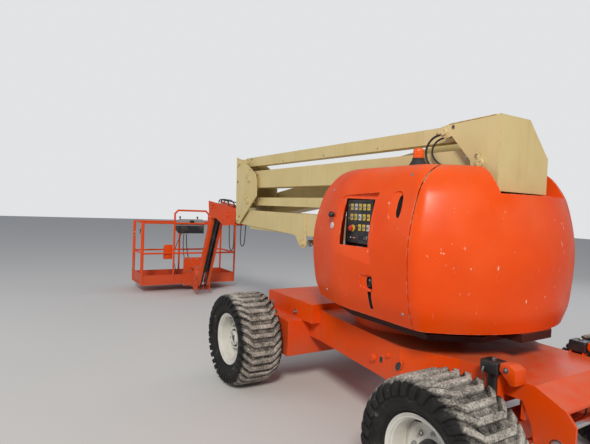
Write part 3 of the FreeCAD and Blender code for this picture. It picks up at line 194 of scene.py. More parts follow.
def paint(name, colour, faded, chip, chips=0.5, gloss=0.34, mud=0.0, streaks=0.0, scuffs_and_sheen=0.0, under=None):
    coat = Coat(name)
    clouds, ramp, times, mix = coat.clouds, coat.ramp, coat.times, coat.mix
    normal = coat.add("ShaderNodeNewGeometry").outputs["Normal"]
    height = coat.add("ShaderNodeSeparateXYZ", [(0, coat.place)]).outputs["Z"]
    level = coat.add("ShaderNodeSeparateXYZ", [(0, normal)]).outputs["Z"]
    tone = mix(times(ramp(clouds(1.3, 3), 0.38, 0.66), 0.75), colour, faded)
    tone = mix(times(ramp(clouds(4.5, 4, 0.5), 0.42, 0.85), 0.30), tone, [c * 0.72 for c in colour])
    if streaks:
        run = ramp(clouds(1.6, 4, 0.5, coat.stretched((14, 14, 0.9))), 0.55, 0.75)
        upright = ramp(coat.calc("ABSOLUTE", level), 0.7, 0.3)
        tone = mix(times(times(run, upright), streaks), tone, STREAK_GREY)
    dust = times(ramp(level, 0.55, 0.98), ramp(clouds(9, 5), 0.35, 0.75, 0.04, 0.34))
    tone = mix(dust, tone, DUST)
    if scuffs_and_sheen:
        marks = ramp(clouds(24, 5, 0.7, coat.stretched((1, 1, 0.45))), 0.655, 0.685)
        tone = mix(times(times(marks, ramp(clouds(2.4, 2), 0.52, 0.60)), scuffs_and_sheen), tone, SCUFFED)
        # painted sheen, partly real fading: in patches towards the top the paint turns a lighter pink-orange
        sheen = times(ramp(clouds(1.7, 3), 0.46, 0.70), ramp(height, 1.2, 1.75))
        tone = mix(times(sheen, 0.35 * scuffs_and_sheen), tone, FADED_SHEEN)
    # painted shade: below the covers' hem the coat turns to the given dark colour, where shade falls under the covers
    if under:
        tone = mix(ramp(height, 0.955, 0.925), tone, under)
    if mud:
        low = ramp(coat.calc("SUBTRACT", height, times(clouds(7, 5), 0.5)), 0.45, 0.05)
        tone = mix(times(low, mud), tone, DRIED_MUD)
    # worn edges, where the rounded normal leaves the flat one, and specks chipped off the faces
    rounded = coat.add("ShaderNodeBevel", [("Radius", 0.007)], samples=4).outputs[0]
    flatness = coat.add("ShaderNodeVectorMath", [(0, rounded), (1, normal)], operation="DOT_PRODUCT").outputs["Value"]
    worn = times(ramp(flatness, 0.985, 0.90), ramp(clouds(26, 4), 0.50, 0.62))
    specks = times(ramp(clouds(58, 2), 0.735, 0.75), ramp(clouds(3.1, 2), 0.45, 0.6))
    bare = coat.calc("MAXIMUM", times(worn, chips), times(specks, chips))
    rough = coat.calc("ADD", ramp(clouds(4.2, 4), 0.3, 0.7, gloss - 0.06, gloss + 0.12), times(dust, 0.45))
    peel = coat.bump(clouds(420, 2), 0.06, 0.002)
    return coat.give(Base_Color=mix(bare, tone, chip), Roughness=coat.calc("ADD", rough, times(bare, 0.25)),
                     Normal=coat.bump(clouds(6, 2), 0.12, 0.01, peel), Specular_IOR_Level=0.20, Coat_Weight=0.05,
                     Coat_Roughness=0.25)


ORANGE, ORANGE_FADED = (0.76, 0.062, 0.0008), (0.78, 0.082, 0.004)
CREAM, CREAM_FADED = (0.64, 0.505, 0.235), (0.70, 0.58, 0.30)
BARE_STEEL = (0.20, 0.17, 0.15)
orange_steel = paint("orange_steel", ORANGE, ORANGE_FADED, BARE_STEEL, chips=0.8, mud=0.22, streaks=0.12)
# the turntable frame's parts below the covers' hem carry painted shade in dark maroon
bed_steel = paint("bed_steel", ORANGE, ORANGE_FADED, BARE_STEEL, gloss=0.5, under=(0.05, 0.008, 0.004))
cream_steel = paint("cream_steel", CREAM, CREAM_FADED, (0.13, 0.10, 0.08), chips=0.6, gloss=0.46, streaks=0.12)


def plain(name, colour, roughness, metal=0.0, grain=60, depth=0.15, spread=0.12, dirt=0.35, dirt_colour=(0.2, 0.17, 0.14)):
    """A rubber, plastic or metal finish with mottled colour, uneven gloss, dirt and fine relief."""
    coat = Coat(name)
    fine, broad = coat.clouds(grain, 4, 0.5), coat.clouds(7.0, 5, 0.5)
    shade = coat.mix(fine, [c * (1 - spread) for c in colour], [min(1, c * (1 + spread)) for c in colour])
    return coat.give(Base_Color=coat.mix(coat.ramp(broad, 0.48, 0.75, 0, dirt), shade, dirt_colour),
                     Roughness=coat.ramp(broad, 0.3, 0.7, max(0.05, roughness - 0.08), min(1, roughness + 0.12)),
                     Normal=coat.bump(fine, depth, 0.002), Metallic=metal)


black_plastic = plain("black_plastic", (0.016, 0.016, 0.017), 0.45)
rubber = plain("rubber", (0.022, 0.021, 0.020), 0.7, grain=35, depth=0.3)
chrome = plain("chromed_rod", (0.62, 0.62, 0.63), 0.14, metal=1.0, dirt=0.15)
zinc = plain("zinc_steel", (0.45, 0.44, 0.42), 0.38, metal=1.0, dirt=0.4)
black_steel = plain("black_steel", (0.02, 0.02, 0.021), 0.38, dirt=0.3)

# The fabricated steel pieces of the frame keep their own shape: their plate edges are rounded and
# they get their coat. Pieces that a later section makes anew are left out here.
COATS = [
    (orange_steel, "chassis_frame drive_axle steer_axle knuckle_left knuckle_right jib_bracket jib_arm platform_support"
                   " platform_mount basket gate engine_block hydraulic_tank"),
    (bed_steel, "turntable_frame"),
    (cream_steel, "lower_boom lower_link mid_boom top_link front_upright rear_upright main_boom fly_boom"),
    (black_steel, "oscillation_cylinders slew_bearing jib_link tower_cylinder_barrel main_cylinder_barrel"
                  " jib_cylinder_barrel"),
    (chrome, "steer_cylinder tie_rod tower_cylinder_rod main_cylinder_rod jib_cylinder_rod"),
    (black_plastic, "ground_panel"),
]
for finish, members in COATS:
    for member in members.split():
        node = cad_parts[member]
        node.data.materials.clear()
        node.data.materials.append(finish)


def round_off(modifiers, name, width, segments, angle):
    """Add a live rounding of edges sharper than an angle in degrees."""
    rounding = modifiers.new(name, "BEVEL")
    rounding.width = width
    rounding.segments = segments
    rounding.limit_method = "ANGLE"
    rounding.angle_limit = math.radians(angle)
    rounding.harden_normals = True
    return rounding


def round_edges(member, width, segments=2, merge=True):
    """Weld the node's loose triangles, merge flat faces and round its plate edges."""
    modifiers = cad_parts[member].modifiers
    modifiers.new("weld", "WELD").merge_threshold = 0.00005
    if merge:
        flat = modifiers.new("flat", "DECIMATE")
        flat.decimate_type = "DISSOLVE"
        flat.angle_limit = math.radians(0.5)
    rounding = round_off(modifiers, "rounding", width, segments, 30)
    rounding.use_clamp_overlap = True
    rounding.miter_outer = "MITER_ARC"


ROUNDINGS = [
    # width, segments, pieces
    (0.0025, 2, "turntable_frame steer_axle jib_bracket jib_arm platform_support platform_mount front_upright"
                " engine_block hydraulic_tank"),
    (0.005, 3, "chassis_frame drive_axle rear_upright fly_boom"),
    (0.008, 3, "lower_boom lower_link mid_boom top_link main_boom"),
]
for width, segments, members in ROUNDINGS:
    for member in members.split():
        # the main boom's open tube ends are rings, which merging would close
        round_edges(member, width, segments, merge=member != "main_boom")

# Wheels: lugged bar-tread tyres on deep, off-white dished rims. A tyre is one moulding: a round
# carcass with flat-bottomed chevron bars that run over both shoulders, caked with dried mud.
WHEELS = [
    # name, which side it faces, has the large drive hub
    ("drive_left", 1, True), ("drive_right", -1, True), ("steer_left", 1, False), ("steer_right", -1, False),
]
TYRE_RADIUS = 0.42
BAR_COUNT = 34
BAR_HEIGHT = 0.030
BAR_END_HEIGHT = 0.016
# carcass section from the crown to the bead: distance from the middle, radius
CARCASS = [(0.0, 0.392), (0.10, 0.391), (0.150, 0.386), (0.173, 0.374), (0.186, 0.354), (0.191, 0.326), (0.190, 0.298),
           (0.181, 0.268), (0.166, 0.246), (0.152, 0.236), (0.150, 0.212)]
# one chevron bar: across the tyre, round it, half width
BAR_PATH = [(-0.236, 0.104, 0.025), (-0.185, 0.082, 0.026), (-0.098, 0.0, 0.020), (0.098, 0.0, 0.020),
            (0.185, 0.082, 0.026), (0.236, 0.104, 0.025)]


def carcass_at(run):
    """Point and outward direction on the carcass section at a run from the crown."""
    sign = -1 if run < 0 else 1
    left = abs(run)
    for (y0, r0), (y1, r1) in zip(CARCASS, CARCASS[1:]):
        piece = math.hypot(y1 - y0, r1 - r0)
        if left <= piece or (y1, r1) == CARCASS[-1]:
            t = min(1.0, left / piece)
            out = Vector((r0 - r1, y1 - y0)).normalized()
            return Vector((sign * (y0 + (y1 - y0) * t), r0 + (r1 - r0) * t)), Vector((sign * out.x, out.y))
        left -= piece


def tyre_rubber():
    """Black rubber under dried mud: thick on the bars, thin on the sidewalls."""
    coat = Coat("muddy_rubber")
    caked = coat.add("ShaderNodeAttribute", attribute_name="caked").outputs["Fac"]
    lumps, fine, patches = coat.clouds(16, 6, 0.65), coat.clouds(90, 4, 0.5), coat.clouds(7, 5, 0.7)
    cover = coat.ramp(coat.calc("ADD", lumps, caked), 0.72, 1.10)
    dusty = coat.mix(coat.ramp(lumps, 0.4, 0.75, 0, 0.30), (0.009, 0.0085, 0.008), (0.055, 0.052, 0.047))
    soil = coat.mix(coat.ramp(coat.calc("ADD", fine, patches), 0.76, 1.24), (0.085, 0.076, 0.062), (0.56, 0.52, 0.46))
    crumbs = coat.bump(coat.times(lumps, cover), 0.8, 0.016)
    return coat.give(Base_Color=coat.mix(cover, dusty, soil), Roughness=coat.ramp(cover, 0, 1, 0.72, 0.95),
                     Specular_IOR_Level=0.3, Normal=coat.bump(fine, 0.35, 0.002, crumbs))


def about(axis, angle):
    return Matrix.Rotation(angle, 4, axis)


def everything(mesh):
    return mesh.verts[:] + mesh.edges[:] + mesh.faces[:]


def agree(mesh):
    """Turn all faces of a mesh to the same side, outward where it is closed."""
    bmesh.ops.recalc_face_normals(mesh, faces=mesh.faces)


def only(kind, geometry):
    return [g for g in geometry if isinstance(g, kind)]


def merge_close(mesh, distance=0.00005):
    bmesh.ops.remove_doubles(mesh, verts=mesh.verts, dist=distance)


def soften(mesh, edges, offset, segments=2):
    """Round some edges of a mesh."""
    bmesh.ops.bevel(mesh, geom=edges, offset=offset, segments=segments, profile=0.5, affect="EDGES", material=-1)


def cut(mesh, place, away, geometry=None, drop=False):
    """Cut a mesh, or some of it, by a plane; what lies on the away side may be dropped."""
    return bmesh.ops.bisect_plane(mesh, geom=geometry or everything(mesh), dist=1e-6, plane_co=place, plane_no=away,
                                  clear_outer=drop)["geom"]


def draw_section(mesh, profile, closed):
    """Draw (distance along the axle, radius) points as a line in the plane of the Y axis."""
    verts = [mesh.verts.new((0, y, r)) for y, r in profile]
    for a, b in zip(verts, verts[1:] + verts[:1] if closed else verts[1:]):
        mesh.edges.new((a, b))


def whirl(mesh, geometry, steps):
    """Spin a line once round the Y axis into a skin."""
    bmesh.ops.spin(mesh, geom=geometry, cent=(0, 0, 0), axis=(0, 1, 0), dvec=(0, 0, 0), angle=2 * math.pi,
                   steps=steps, use_merge=True)


def share_between(value, low, high):
    return max(0.0, min(1.0, (value - low) / (high - low)))


def tyre_mesh():
    """One tyre about the Y axis at the origin."""
    mesh = bmesh.new()
    caked = mesh.verts.layers.float.new("caked")
    draw_section(mesh, [(-y, r) for y, r in reversed(CARCASS)] + CARCASS[1:], True)
    whirl(mesh, mesh.verts[:] + mesh.edges[:], 96)
    merge_close(mesh, 0.0005)
    # three raised rings on each sidewall
    for side in (-1, 1):
        for y, r, thick in ((0.1905, 0.318, 0.0028), (0.190, 0.296, 0.0018), (0.172, 0.254, 0.005)):
            at = Matrix.Translation((0, side * (y - 0.0006), r)) @ about("Y", math.pi / 2)
            ring = bmesh.ops.create_circle(mesh, segments=8, radius=thick, cap_ends=False, matrix=at)["verts"]
            whirl(mesh, ring + list({e for v in ring for e in v.link_edges}), 96)
    merge_close(mesh, 0.0002)
    agree(mesh)
    # one bar, drawn flat as (round the tyre, across it, height), then set on the carcass
    bar = bmesh.new()
    edge = [(a + half, s) for s, a, half in BAR_PATH] + [(a - half, s) for s, a, half in reversed(BAR_PATH)]
    face = bar.faces.new([bar.verts.new((a, s, 0)) for a, s in edge])
    top, = only(bmesh.types.BMFace, bmesh.ops.extrude_face_region(bar, geom=[face])["geom"])
    for vertex in top.verts:
        vertex.co.z += BAR_END_HEIGHT if abs(vertex.co.y) > 0.22 else BAR_HEIGHT
        middle = min(BAR_PATH, key=lambda p: abs(p[0] - vertex.co.y))[1]
        vertex.co.x = middle + (vertex.co.x - middle) * 0.80
    bmesh.ops.delete(bar, geom=[face], context="FACES")
    lengthwise = [e for e in bar.edges if abs(e.verts[0].co.y - e.verts[1].co.y) > 0.03]
    bmesh.ops.subdivide_edges(bar, edges=lengthwise, cuts=5, use_grid_fill=True)
    for k in range(-5, 6):
        cut(bar, (0, k * 0.045, 0), (0, 1, 0))
    agree(bar)
    soften(bar, [e for e in bar.edges if len(e.link_faces) == 2 and e.calc_face_angle(0) > 0.6], 0.0035)
    for vertex in bar.verts:
        base, out = carcass_at(vertex.co.y)
        point = base + out * (vertex.co.z - 0.004)
        angle = vertex.co.x / 0.40
        vertex.co = (point.y * math.sin(angle), point.x, point.y * math.cos(angle))
    piece = mesh_data("bar", bar, [])
    random.seed(4)
    for k in range(BAR_COUNT):
        before = len(mesh.verts)
        mesh.from_mesh(piece)
        mesh.verts.ensure_lookup_table()
        angle = 2 * math.pi * (k + random.uniform(-0.02, 0.02)) / BAR_COUNT
        bmesh.ops.rotate(mesh, verts=mesh.verts[before:], cent=(0, 0, 0), matrix=Matrix.Rotation(angle, 3, "Y"))
    bpy.data.meshes.remove(piece)
    for vertex in mesh.verts:
        radius = math.hypot(vertex.co.x, vertex.co.z)
        tread = share_between(radius, 0.345, 0.385) * (1 - share_between(abs(vertex.co.y), 0.174, 0.196))
        vertex[caked] = 0.10 + 0.22 * tread + 0.40 * tread * share_between(radius, 0.385, 0.415)
    return mesh


def spun(profile, steps, closed=False):
    """A (distance along the axle, radius) profile spun about the Y axis into a skin."""
    mesh = bmesh.new()
    draw_section(mesh, profile, closed)
    whirl(mesh, mesh.verts[:] + mesh.edges[:], steps)
    merge_close(mesh, 0.0003)
    agree(mesh)
    return mesh


def put(target, source, slot=0, matrix=None):
    """Add one bmesh to another under a material slot."""
    for face in source.faces:
        face.material_index = slot
    if matrix is not None:
        bmesh.ops.transform(source, verts=source.verts, matrix=matrix)
    piece = mesh_data("piece", source, [])
    target.from_mesh(piece)
    bpy.data.meshes.remove(piece)


def nut(radius, height, tip=0.0):
    """A hexagon nut on the XY plane with a chamfered crown and a stud's end."""
    mesh = bmesh.new()
    bmesh.ops.create_cone(mesh, segments=6, radius1=radius, radius2=radius, depth=height, cap_ends=True,
                          matrix=Matrix.Translation((0, 0, height / 2)))
    soften(mesh, [e for e in mesh.edges if all(v.co.z > height * 0.9 for v in e.verts)], radius * 0.16, 1)
    if tip:
        bmesh.ops.create_cone(mesh, segments=12, radius1=radius * 0.5, radius2=radius * 0.42, depth=tip, cap_ends=True,
                              matrix=Matrix.Translation((0, 0, height + tip / 2)))
    return mesh


def disc(radius, steps):
    mesh = bmesh.new()
    bmesh.ops.create_circle(mesh, segments=steps, radius=radius, cap_ends=True)
    return mesh


def on_rim(turn, y, r, lean=-90):
    """A frame on the rim, turned round the axle; Z looks out along it."""
    return about("Y", turn) @ Matrix.Translation((0, y, r)) @ about("X", math.radians(lean))


RIM_SECTION = [(0.160, 0.225), (0.163, 0.231), (0.159, 0.233), (0.154, 0.229), (0.151, 0.2085), (0.10, 0.202), (0.02, 0.198),
               (-0.10, 0.202), (-0.151, 0.2085), (-0.154, 0.229), (-0.159, 0.233), (-0.163, 0.231), (-0.160, 0.225),
               (-0.150, 0.199), (-0.10, 0.192), (0.012, 0.190), (0.10, 0.192), (0.138, 0.199)]
DISC_SECTION = [(0.034, 0.191), (0.048, 0.188), (0.060, 0.165), (0.054, 0.145), (0.054, 0.06), (0.040, 0.06),
                (0.040, 0.145), (0.034, 0.165)]
# hubs, skin by skin: slot, steps round the axle, section; on the drive hub, slot 1 paints the groove's floor and the
# centre near-black as painted shade
DRIVE_HUB = [
    (0, 48, [(0.054, 0.100), (0.086, 0.098), (0.094, 0.092), (0.094, 0.084), (0.080, 0.082)]),
    (1, 48, [(0.0805, 0.083), (0.079, 0.064)]),
    (0, 48, [(0.078, 0.066), (0.104, 0.064), (0.110, 0.058), (0.111, 0.034), (0.102, 0.032)]),
    (1, 32, [(0.1025, 0.033), (0.100, 0.022), (0.106, 0.014), (0.107, 0.0)]),
]
STEER_HUB = [(1, 40, [(0.054, 0.088), (0.078, 0.084), (0.084, 0.076), (0.100, 0.070), (0.110, 0.062), (0.112, 0.030),
                      (0.106, 0.026), (0.105, 0.0)])]


def rim_mesh(drive):
    """A deep-dished rim that faces +Y, its hub and nuts; slots: paint, dark hub (also painted shade in the drive hub's
    groove and centre and in the barrel's hole), zinc.
    """
    mesh = spun(RIM_SECTION, 72, closed=True)
    put(mesh, spun(DISC_SECTION, 72, closed=True))
    for k in range(9):
        put(mesh, nut(0.0135, 0.015, 0.012), 2, on_rim(2 * math.pi * k / 9, 0.054, 0.120))
    for slot, steps, section in DRIVE_HUB if drive else STEER_HUB:
        put(mesh, spun(section, steps), slot)
    bolts, bolts_at, face = (5, 0.047, 0.1105) if drive else (8, 0.052, 0.112)
    for k in range(bolts):
        put(mesh, nut(0.009, 0.007, 0.004), 2, on_rim(2 * math.pi * (k + 0.3) / bolts, face - 0.002, bolts_at))
    put(mesh, spun([(0.040, 0.128), (0.0, 0.126), (-0.004, 0.080), (-0.099, 0.078), (-0.099, 0.060)], 40), 1)
    # a near-black disc on the barrel stands for a small hole: painted shade
    put(mesh, disc(0.009, 20), 1, on_rim(-0.9, 0.098, 0.1903, 180))
    valve = bmesh.new()
    bmesh.ops.create_cone(valve, segments=12, radius1=0.005, radius2=0.004, depth=0.04, cap_ends=True)
    put(mesh, valve, 1, on_rim(0.35, 0.10, 0.181, -70))
    return mesh


def dress(piece, body, node=None):
    """Let a piece ride on a body and, where it stands for a node, hide that node."""
    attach(piece, body)
    if node:
        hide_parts(node)
    return piece


def add_piece(name, mesh, finishes, body, node=None, smooth=35):
    return dress(new_object(name, mesh_data(name, mesh, finishes, smooth)), body, node)


rim_paint = plain("rim_paint", (0.60, 0.585, 0.53), 0.42, grain=12, spread=0.1, dirt=0.45, dirt_colour=(0.30, 0.26, 0.20))
# near-black: the steer hubs' own dark finish, and painted shade in the drive hubs' groove and centre and in the
# barrel's hole
hub_black_and_hole_shade = plain("hub_black_and_hole_shade", (0.03, 0.03, 0.032), 0.4, dirt=0.5)
tyre_data = mesh_data("tyre", tyre_mesh(), [tyre_rubber()], 35)
for name, side, drive in WHEELS:
    low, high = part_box("tyre_" + name)
    place_at = Matrix.Translation(((low.x + high.x) / 2, (low.y + high.y) / 2, TYRE_RADIUS))
    if side < 0:
        place_at = place_at @ about("Z", math.pi)
    data = tyre_data.copy()
    data.transform(place_at)
    dress(new_object("tread_" + name, data), "wheel_" + name, "tyre_" + name)
    mesh = rim_mesh(drive)
    bmesh.ops.transform(mesh, verts=mesh.verts, matrix=place_at)
    add_piece("dish_" + name, mesh, [rim_paint, hub_black_and_hole_shade, zinc], "wheel_" + name, "rim_" + name)

# Turntable covers: two moulded fibreglass side covers and a round tail over the counterweight.
# Each is one sheet with the handle, latch and panel pockets pressed into it, rolled at its rims;
# they meet at the upright seams and leave a slot for the booms in the middle.
COVER_RINGS = [
    # height, half width at the sides, tail radius, front reach, half width at the front
    (0.935, 0.745, 1.085, 0.470, 0.600), (1.050, 0.790, 1.122, 0.500, 0.640), (1.430, 0.825, 1.140, 0.500, 0.680),
    (1.750, 0.768, 1.080, 0.450, 0.630), (1.890, 0.705, 1.005, 0.370, 0.570), (1.955, 0.640, 0.935, 0.290, 0.510),
]
COVER_HEM = COVER_RINGS[0][0]
COVER_CREASE = COVER_RINGS[1][0]
COVER_TOP = COVER_RINGS[-1][0]
TAIL_CORNER = 0.12
NOSE_CORNER = 0.09
SLOT_HALF = 0.345
SEAM_X = -0.745
SEAM_GAP = 0.008
NOTCH_FLOOR = 1.785
NOTCH_WALL_X = SLEW_X - 0.835
# run of each stretch of half the outline, from the slot at the front round to the middle of the tail
STRETCHES = [("front", 0.30), ("nose", 0.13), ("taper", 0.44), ("side", 0.74), ("corner", 0.17), ("tail", 0.92)]
SIDE_START = sum(run for _, run in STRETCHES[:3])
HALF_RUN = sum(run for _, run in STRETCHES)
TOP_RUN = 0.34
TAPER_EASE = 0.13
CREASE_EASE = 0.045
SIDE_REACH = 0.60


def ring_at(height):
    """The outline's sizes at a height, the lower crease rolled round."""
    if abs(height - COVER_CREASE) >= CREASE_EASE:
        return ring_plain(height)
    below, crease, above = [ring_plain(COVER_CREASE + step) for step in (-CREASE_EASE, 0.0, CREASE_EASE)]
    t = (height - COVER_CREASE + CREASE_EASE) / (2 * CREASE_EASE)
    return [(1 - t) ** 2 * a + 2 * t * (1 - t) * b + t * t * c for a, b, c in zip(below, crease, above)]


def ring_plain(height):
    """The outline's sizes at a height, smooth above the lower crease."""
    rings = COVER_RINGS
    if height <= COVER_CREASE:
        t = (height - COVER_HEM) / (COVER_CREASE - COVER_HEM)
        return [a + (b - a) * t for a, b in zip(rings[0], rings[1])][1:]
    k = 1
    while k < len(rings) - 2 and height > rings[k + 1][0]:
        k += 1
    a, b = rings[k], rings[k + 1]
    before = rings[k - 1]
    after = rings[k + 2] if k + 2 < len(rings) else None
    span = b[0] - a[0]
    t = min(1.0, (height - a[0]) / span)
    sizes = []
    for j in range(1, 5):
        slope_a = (b[j] - a[j]) * 1.7 if k == 1 else (b[j] - before[j]) / (b[0] - before[0]) * span
        slope_b = (after[j] - a[j]) / (after[0] - a[0]) * span if after else (b[j] - a[j]) * 1.6
        sizes.append((2 * t ** 3 - 3 * t ** 2 + 1) * a[j] + (t ** 3 - 2 * t ** 2 + t) * slope_a
                     + (3 * t ** 2 - 2 * t ** 3) * b[j] + (t ** 3 - t ** 2) * slope_b)
    return sizes


def outline_point(run, height):
    """The cover's skin at a run round the left half and a height, from the slew axis."""
    half, tail, front, front_half = ring_at(min(height, COVER_TOP))
    side_rear = -math.sqrt((tail - TAIL_CORNER) ** 2 - (half - TAIL_CORNER) ** 2)
    taper = math.atan2(half - front_half, front)
    nose_x = front - NOSE_CORNER
    nose_y = half - nose_x * math.tan(taper) - NOSE_CORNER / math.cos(taper)
    at = run
    for name, stretch in STRETCHES:
        if at <= stretch or name == "tail":
            break
        at -= stretch
    t = min(1.0, at / stretch)
    if name == "front":
        x, y = front, nose_y * t
    elif name == "nose":
        angle = (math.pi / 2 - taper) * t
        x, y = nose_x + NOSE_CORNER * math.cos(angle), nose_y + NOSE_CORNER * math.sin(angle)
    elif name == "taper":
        start_y = nose_y + NOSE_CORNER * math.cos(taper)
        x, y = (nose_x + NOSE_CORNER * math.sin(taper)) * (1 - t), start_y + (half - start_y) * t
    elif name == "side":
        past = (at - SIDE_REACH) / (stretch - SIDE_REACH)
        x, y = -at if at < SIDE_REACH else -SIDE_REACH - past * (-side_rear - SIDE_REACH), half
    if name in ("taper", "side") and abs(x) < TAPER_EASE:
        y = half - math.tan(taper) * (x + TAPER_EASE) ** 2 / (4 * TAPER_EASE)
    if name in ("corner", "tail"):
        centre = math.atan2(half - TAIL_CORNER, side_rear)
        if name == "corner":
            angle = math.pi / 2 + (centre - math.pi / 2) * t
            x = side_rear + TAIL_CORNER * math.cos(angle)
            y = half - TAIL_CORNER + TAIL_CORNER * math.sin(angle)
        else:
            angle = centre + (math.pi - centre) * t
            x, y = tail * math.cos(angle), tail * math.sin(angle)
    if height > COVER_TOP:
        inward = (height - COVER_TOP) / TOP_RUN
        crown = 0.008 * (1 - (1 - min(1.0, inward * 3)) ** 2)
        return Vector((x + (-0.25 - x) * inward * 0.9, y * (1 - inward * 0.9), COVER_TOP + crown))
    return Vector((x, y, height))


def wrap(flat):
    """A flat point (run, height, depth behind the skin) placed on the cover, in the machine's frame."""
    run, height, depth = flat
    skin = outline_point(run, height)
    if depth:
        step = 0.004
        along = outline_point(min(HALF_RUN, run + step), height) - outline_point(run - step, height)
        rise = outline_point(run, height + step) - outline_point(run, height - step)
        skin += depth * rise.cross(along).normalized()
    return skin + Vector((SLEW_X, 0, 0))


def with_borders(faces):
    return list({part for f in faces for part in (f, *f.edges, *f.verts)})


def cut_outline(mesh, outline):
    """Cut a convex outline into the flat sheet; the faces inside it come back."""
    middle = sum((Vector((*p, 0)) for p in outline), Vector()) / len(outline)
    reach = max((Vector((*p, 0)) - middle).length for p in outline) + 0.04
    inside = [f for f in mesh.faces if (f.calc_center_median() - middle).length < reach]
    for a, b in zip(outline, outline[1:] + outline[:1]):
        start = Vector((*a, 0))
        outward = Vector((b[1] - a[1], a[0] - b[0], 0)).normalized()
        if (middle - start).dot(outward) > 0:
            outward = -outward
        faces = only(bmesh.types.BMFace, cut(mesh, start, outward, with_borders(inside)))
        inside = [f for f in faces if (f.calc_center_median() - start).dot(outward) < 0]
    return inside


def press(mesh, outline, depth_at, slot=0):
    """Press a pocket into the flat sheet: a wall round the outline and a floor at depth_at(run)."""
    faces = cut_outline(mesh, outline)
    known = set(mesh.faces)
    pressed = bmesh.ops.extrude_face_region(mesh, geom=faces)["geom"]
    walls = [f for f in mesh.faces if f not in known]
    bmesh.ops.delete(mesh, geom=faces, context="FACES_ONLY")
    for vertex in only(bmesh.types.BMVert, pressed):
        vertex.co.z += depth_at(vertex.co.x)
    if slot:
        for face in walls:
            face.material_index = slot
    return only(bmesh.types.BMFace, pressed)


def side_run(x):
    """The run at which the left side stands at x from the slew axis."""
    return SIDE_START - x


def on_side_sheet(points):
    return [(side_run(x), z) for x, z in points]


def oval(x, z, width, height, steps=28):
    """A stadium-like outline round a point of the side."""
    outline = []
    for k in range(steps):
        c, s = math.cos(2 * math.pi * k / steps), math.sin(2 * math.pi * k / steps)
        outline.append((side_run(x) + width / 2 * math.copysign(abs(c) ** 0.75, c),
                        z + height / 2 * math.copysign(abs(s) ** 0.75, s)))
    return outline


def flat_sheet(start, end):
    """A flat grid between two runs, up the side and over the shoulder on to the top."""
    tall = COVER_TOP + TOP_RUN - COVER_HEM
    made = bmesh.new()
    bmesh.ops.create_grid(made, x_segments=round((end - start) / 0.017), y_segments=round(tall / 0.0135), size=0.5)
    bmesh.ops.translate(made, verts=made.verts, vec=(0.5, 0.5, 0))
    bmesh.ops.scale(made, verts=made.verts, vec=(end - start, tall, 1))
    bmesh.ops.translate(made, verts=made.verts, vec=(start, COVER_HEM, 0))
    for height in (COVER_CREASE, COVER_TOP):
        cut(made, (0, height, 0), (0, 1, 0))
    return made


def wrap_sheet(mesh, mirrored=False):
    for vertex in mesh.verts:
        vertex.co = wrap(vertex.co)
    if mirrored:
        bmesh.ops.scale(mesh, verts=mesh.verts, vec=(1, -1, 1))
    merge_close(mesh, 0.0004)


def face_out(mesh, centre):
    """Turn the faces so that they look away from a point inside."""
    agree(mesh)
    if sum((f.calc_center_median() - centre).dot(f.normal) * f.calc_area() for f in mesh.faces) < 0:
        bmesh.ops.reverse_faces(mesh, faces=mesh.faces)


def give_wall(piece, thickness, rounding):
    wall = piece.modifiers.new("wall", "SOLIDIFY")
    wall.thickness = thickness
    wall.offset = -1
    wall.use_rim = True
    round_off(piece.modifiers, "edge", rounding, 2, 38)


PANEL_SCOOP = on_side_sheet([(0.03, 1.705), (-0.05, 1.755), (-0.405, 1.775), (-0.405, 1.29), (0.03, 1.345)])
PANEL_WINDOW = on_side_sheet([(-0.055, 1.40), (-0.055, 1.735), (-0.345, 1.735), (-0.345, 1.40)])
PANEL_SILL = 1.395
HANDLE_X, HANDLE_Z = -0.585, 1.685
LATCH_X, LATCH_Z = -0.36, 1.165
LATCH_HALF = 0.062


def cover_sheet(mirrored):
    """A side cover's sheet with its pockets, from the slot at the front to the rear seam."""
    mesh = flat_sheet(0.0, SIDE_START + 1.10)
    # handle: an oval scoop that deepens rearwards, with a finger slot along its rear edge
    press(mesh, oval(HANDLE_X, HANDLE_Z, 0.12, 0.19),
          lambda run: 0.020 * max(0.04, (run - side_run(HANDLE_X + 0.06)) / 0.12))
    press(mesh, oval(HANDLE_X - 0.026, HANDLE_Z, 0.050, 0.150, 20), lambda run: 0.03, slot=1)
    # latch: a square pocket over a narrow slot that runs down towards the hem
    x, z, w = LATCH_X, LATCH_Z, LATCH_HALF
    press(mesh, on_side_sheet([(x + w, z + 0.05), (x - w, z + 0.058), (x - w, z - 0.055), (x + w, z - 0.03)]),
          lambda run: 0.006 + 0.016 * (run - side_run(x + w)) / (2 * w))
    press(mesh, oval(x - 0.022, z, 0.060, 0.084, 20), lambda run: 0.03, slot=1)
    low = [(x - 0.010, z - 0.0545), (x - 0.046, z - 0.0545), (x - 0.042, z - 0.175), (x - 0.014, z - 0.175)]
    press(mesh, on_side_sheet(low), lambda run: 0.026, slot=1)
    if not mirrored:
        # panel: a scoop that deepens rearwards and below its sill, with an open window in it
        scoop = press(mesh, PANEL_SCOOP, lambda run: 0.0)
        cut(mesh, (0, PANEL_SILL, 0), (0, 1, 0), with_borders(scoop))
        for vertex in {v for f in scoop if f.is_valid for v in f.verts}:
            share = share_between(vertex.co.x, side_run(0.03), side_run(-0.405))
            vertex.co.z = 0.036 * share * share_between(vertex.co.y, 1.29 + 0.055 * (1 - share), PANEL_SILL)
        bmesh.ops.delete(mesh, geom=cut_outline(mesh, PANEL_WINDOW), context="FACES")
    wrap_sheet(mesh, mirrored)
    side = -1 if mirrored else 1
    cut(mesh, (SLEW_X + SEAM_X + SEAM_GAP, 0, 0), (-1, 0, 0), drop=True)
    cut(mesh, (0, side * SLOT_HALF, 0), (0, -side, 0), drop=True)
    face_out(mesh, Vector((SLEW_X - 0.2, 0, 1.2)))
    return mesh


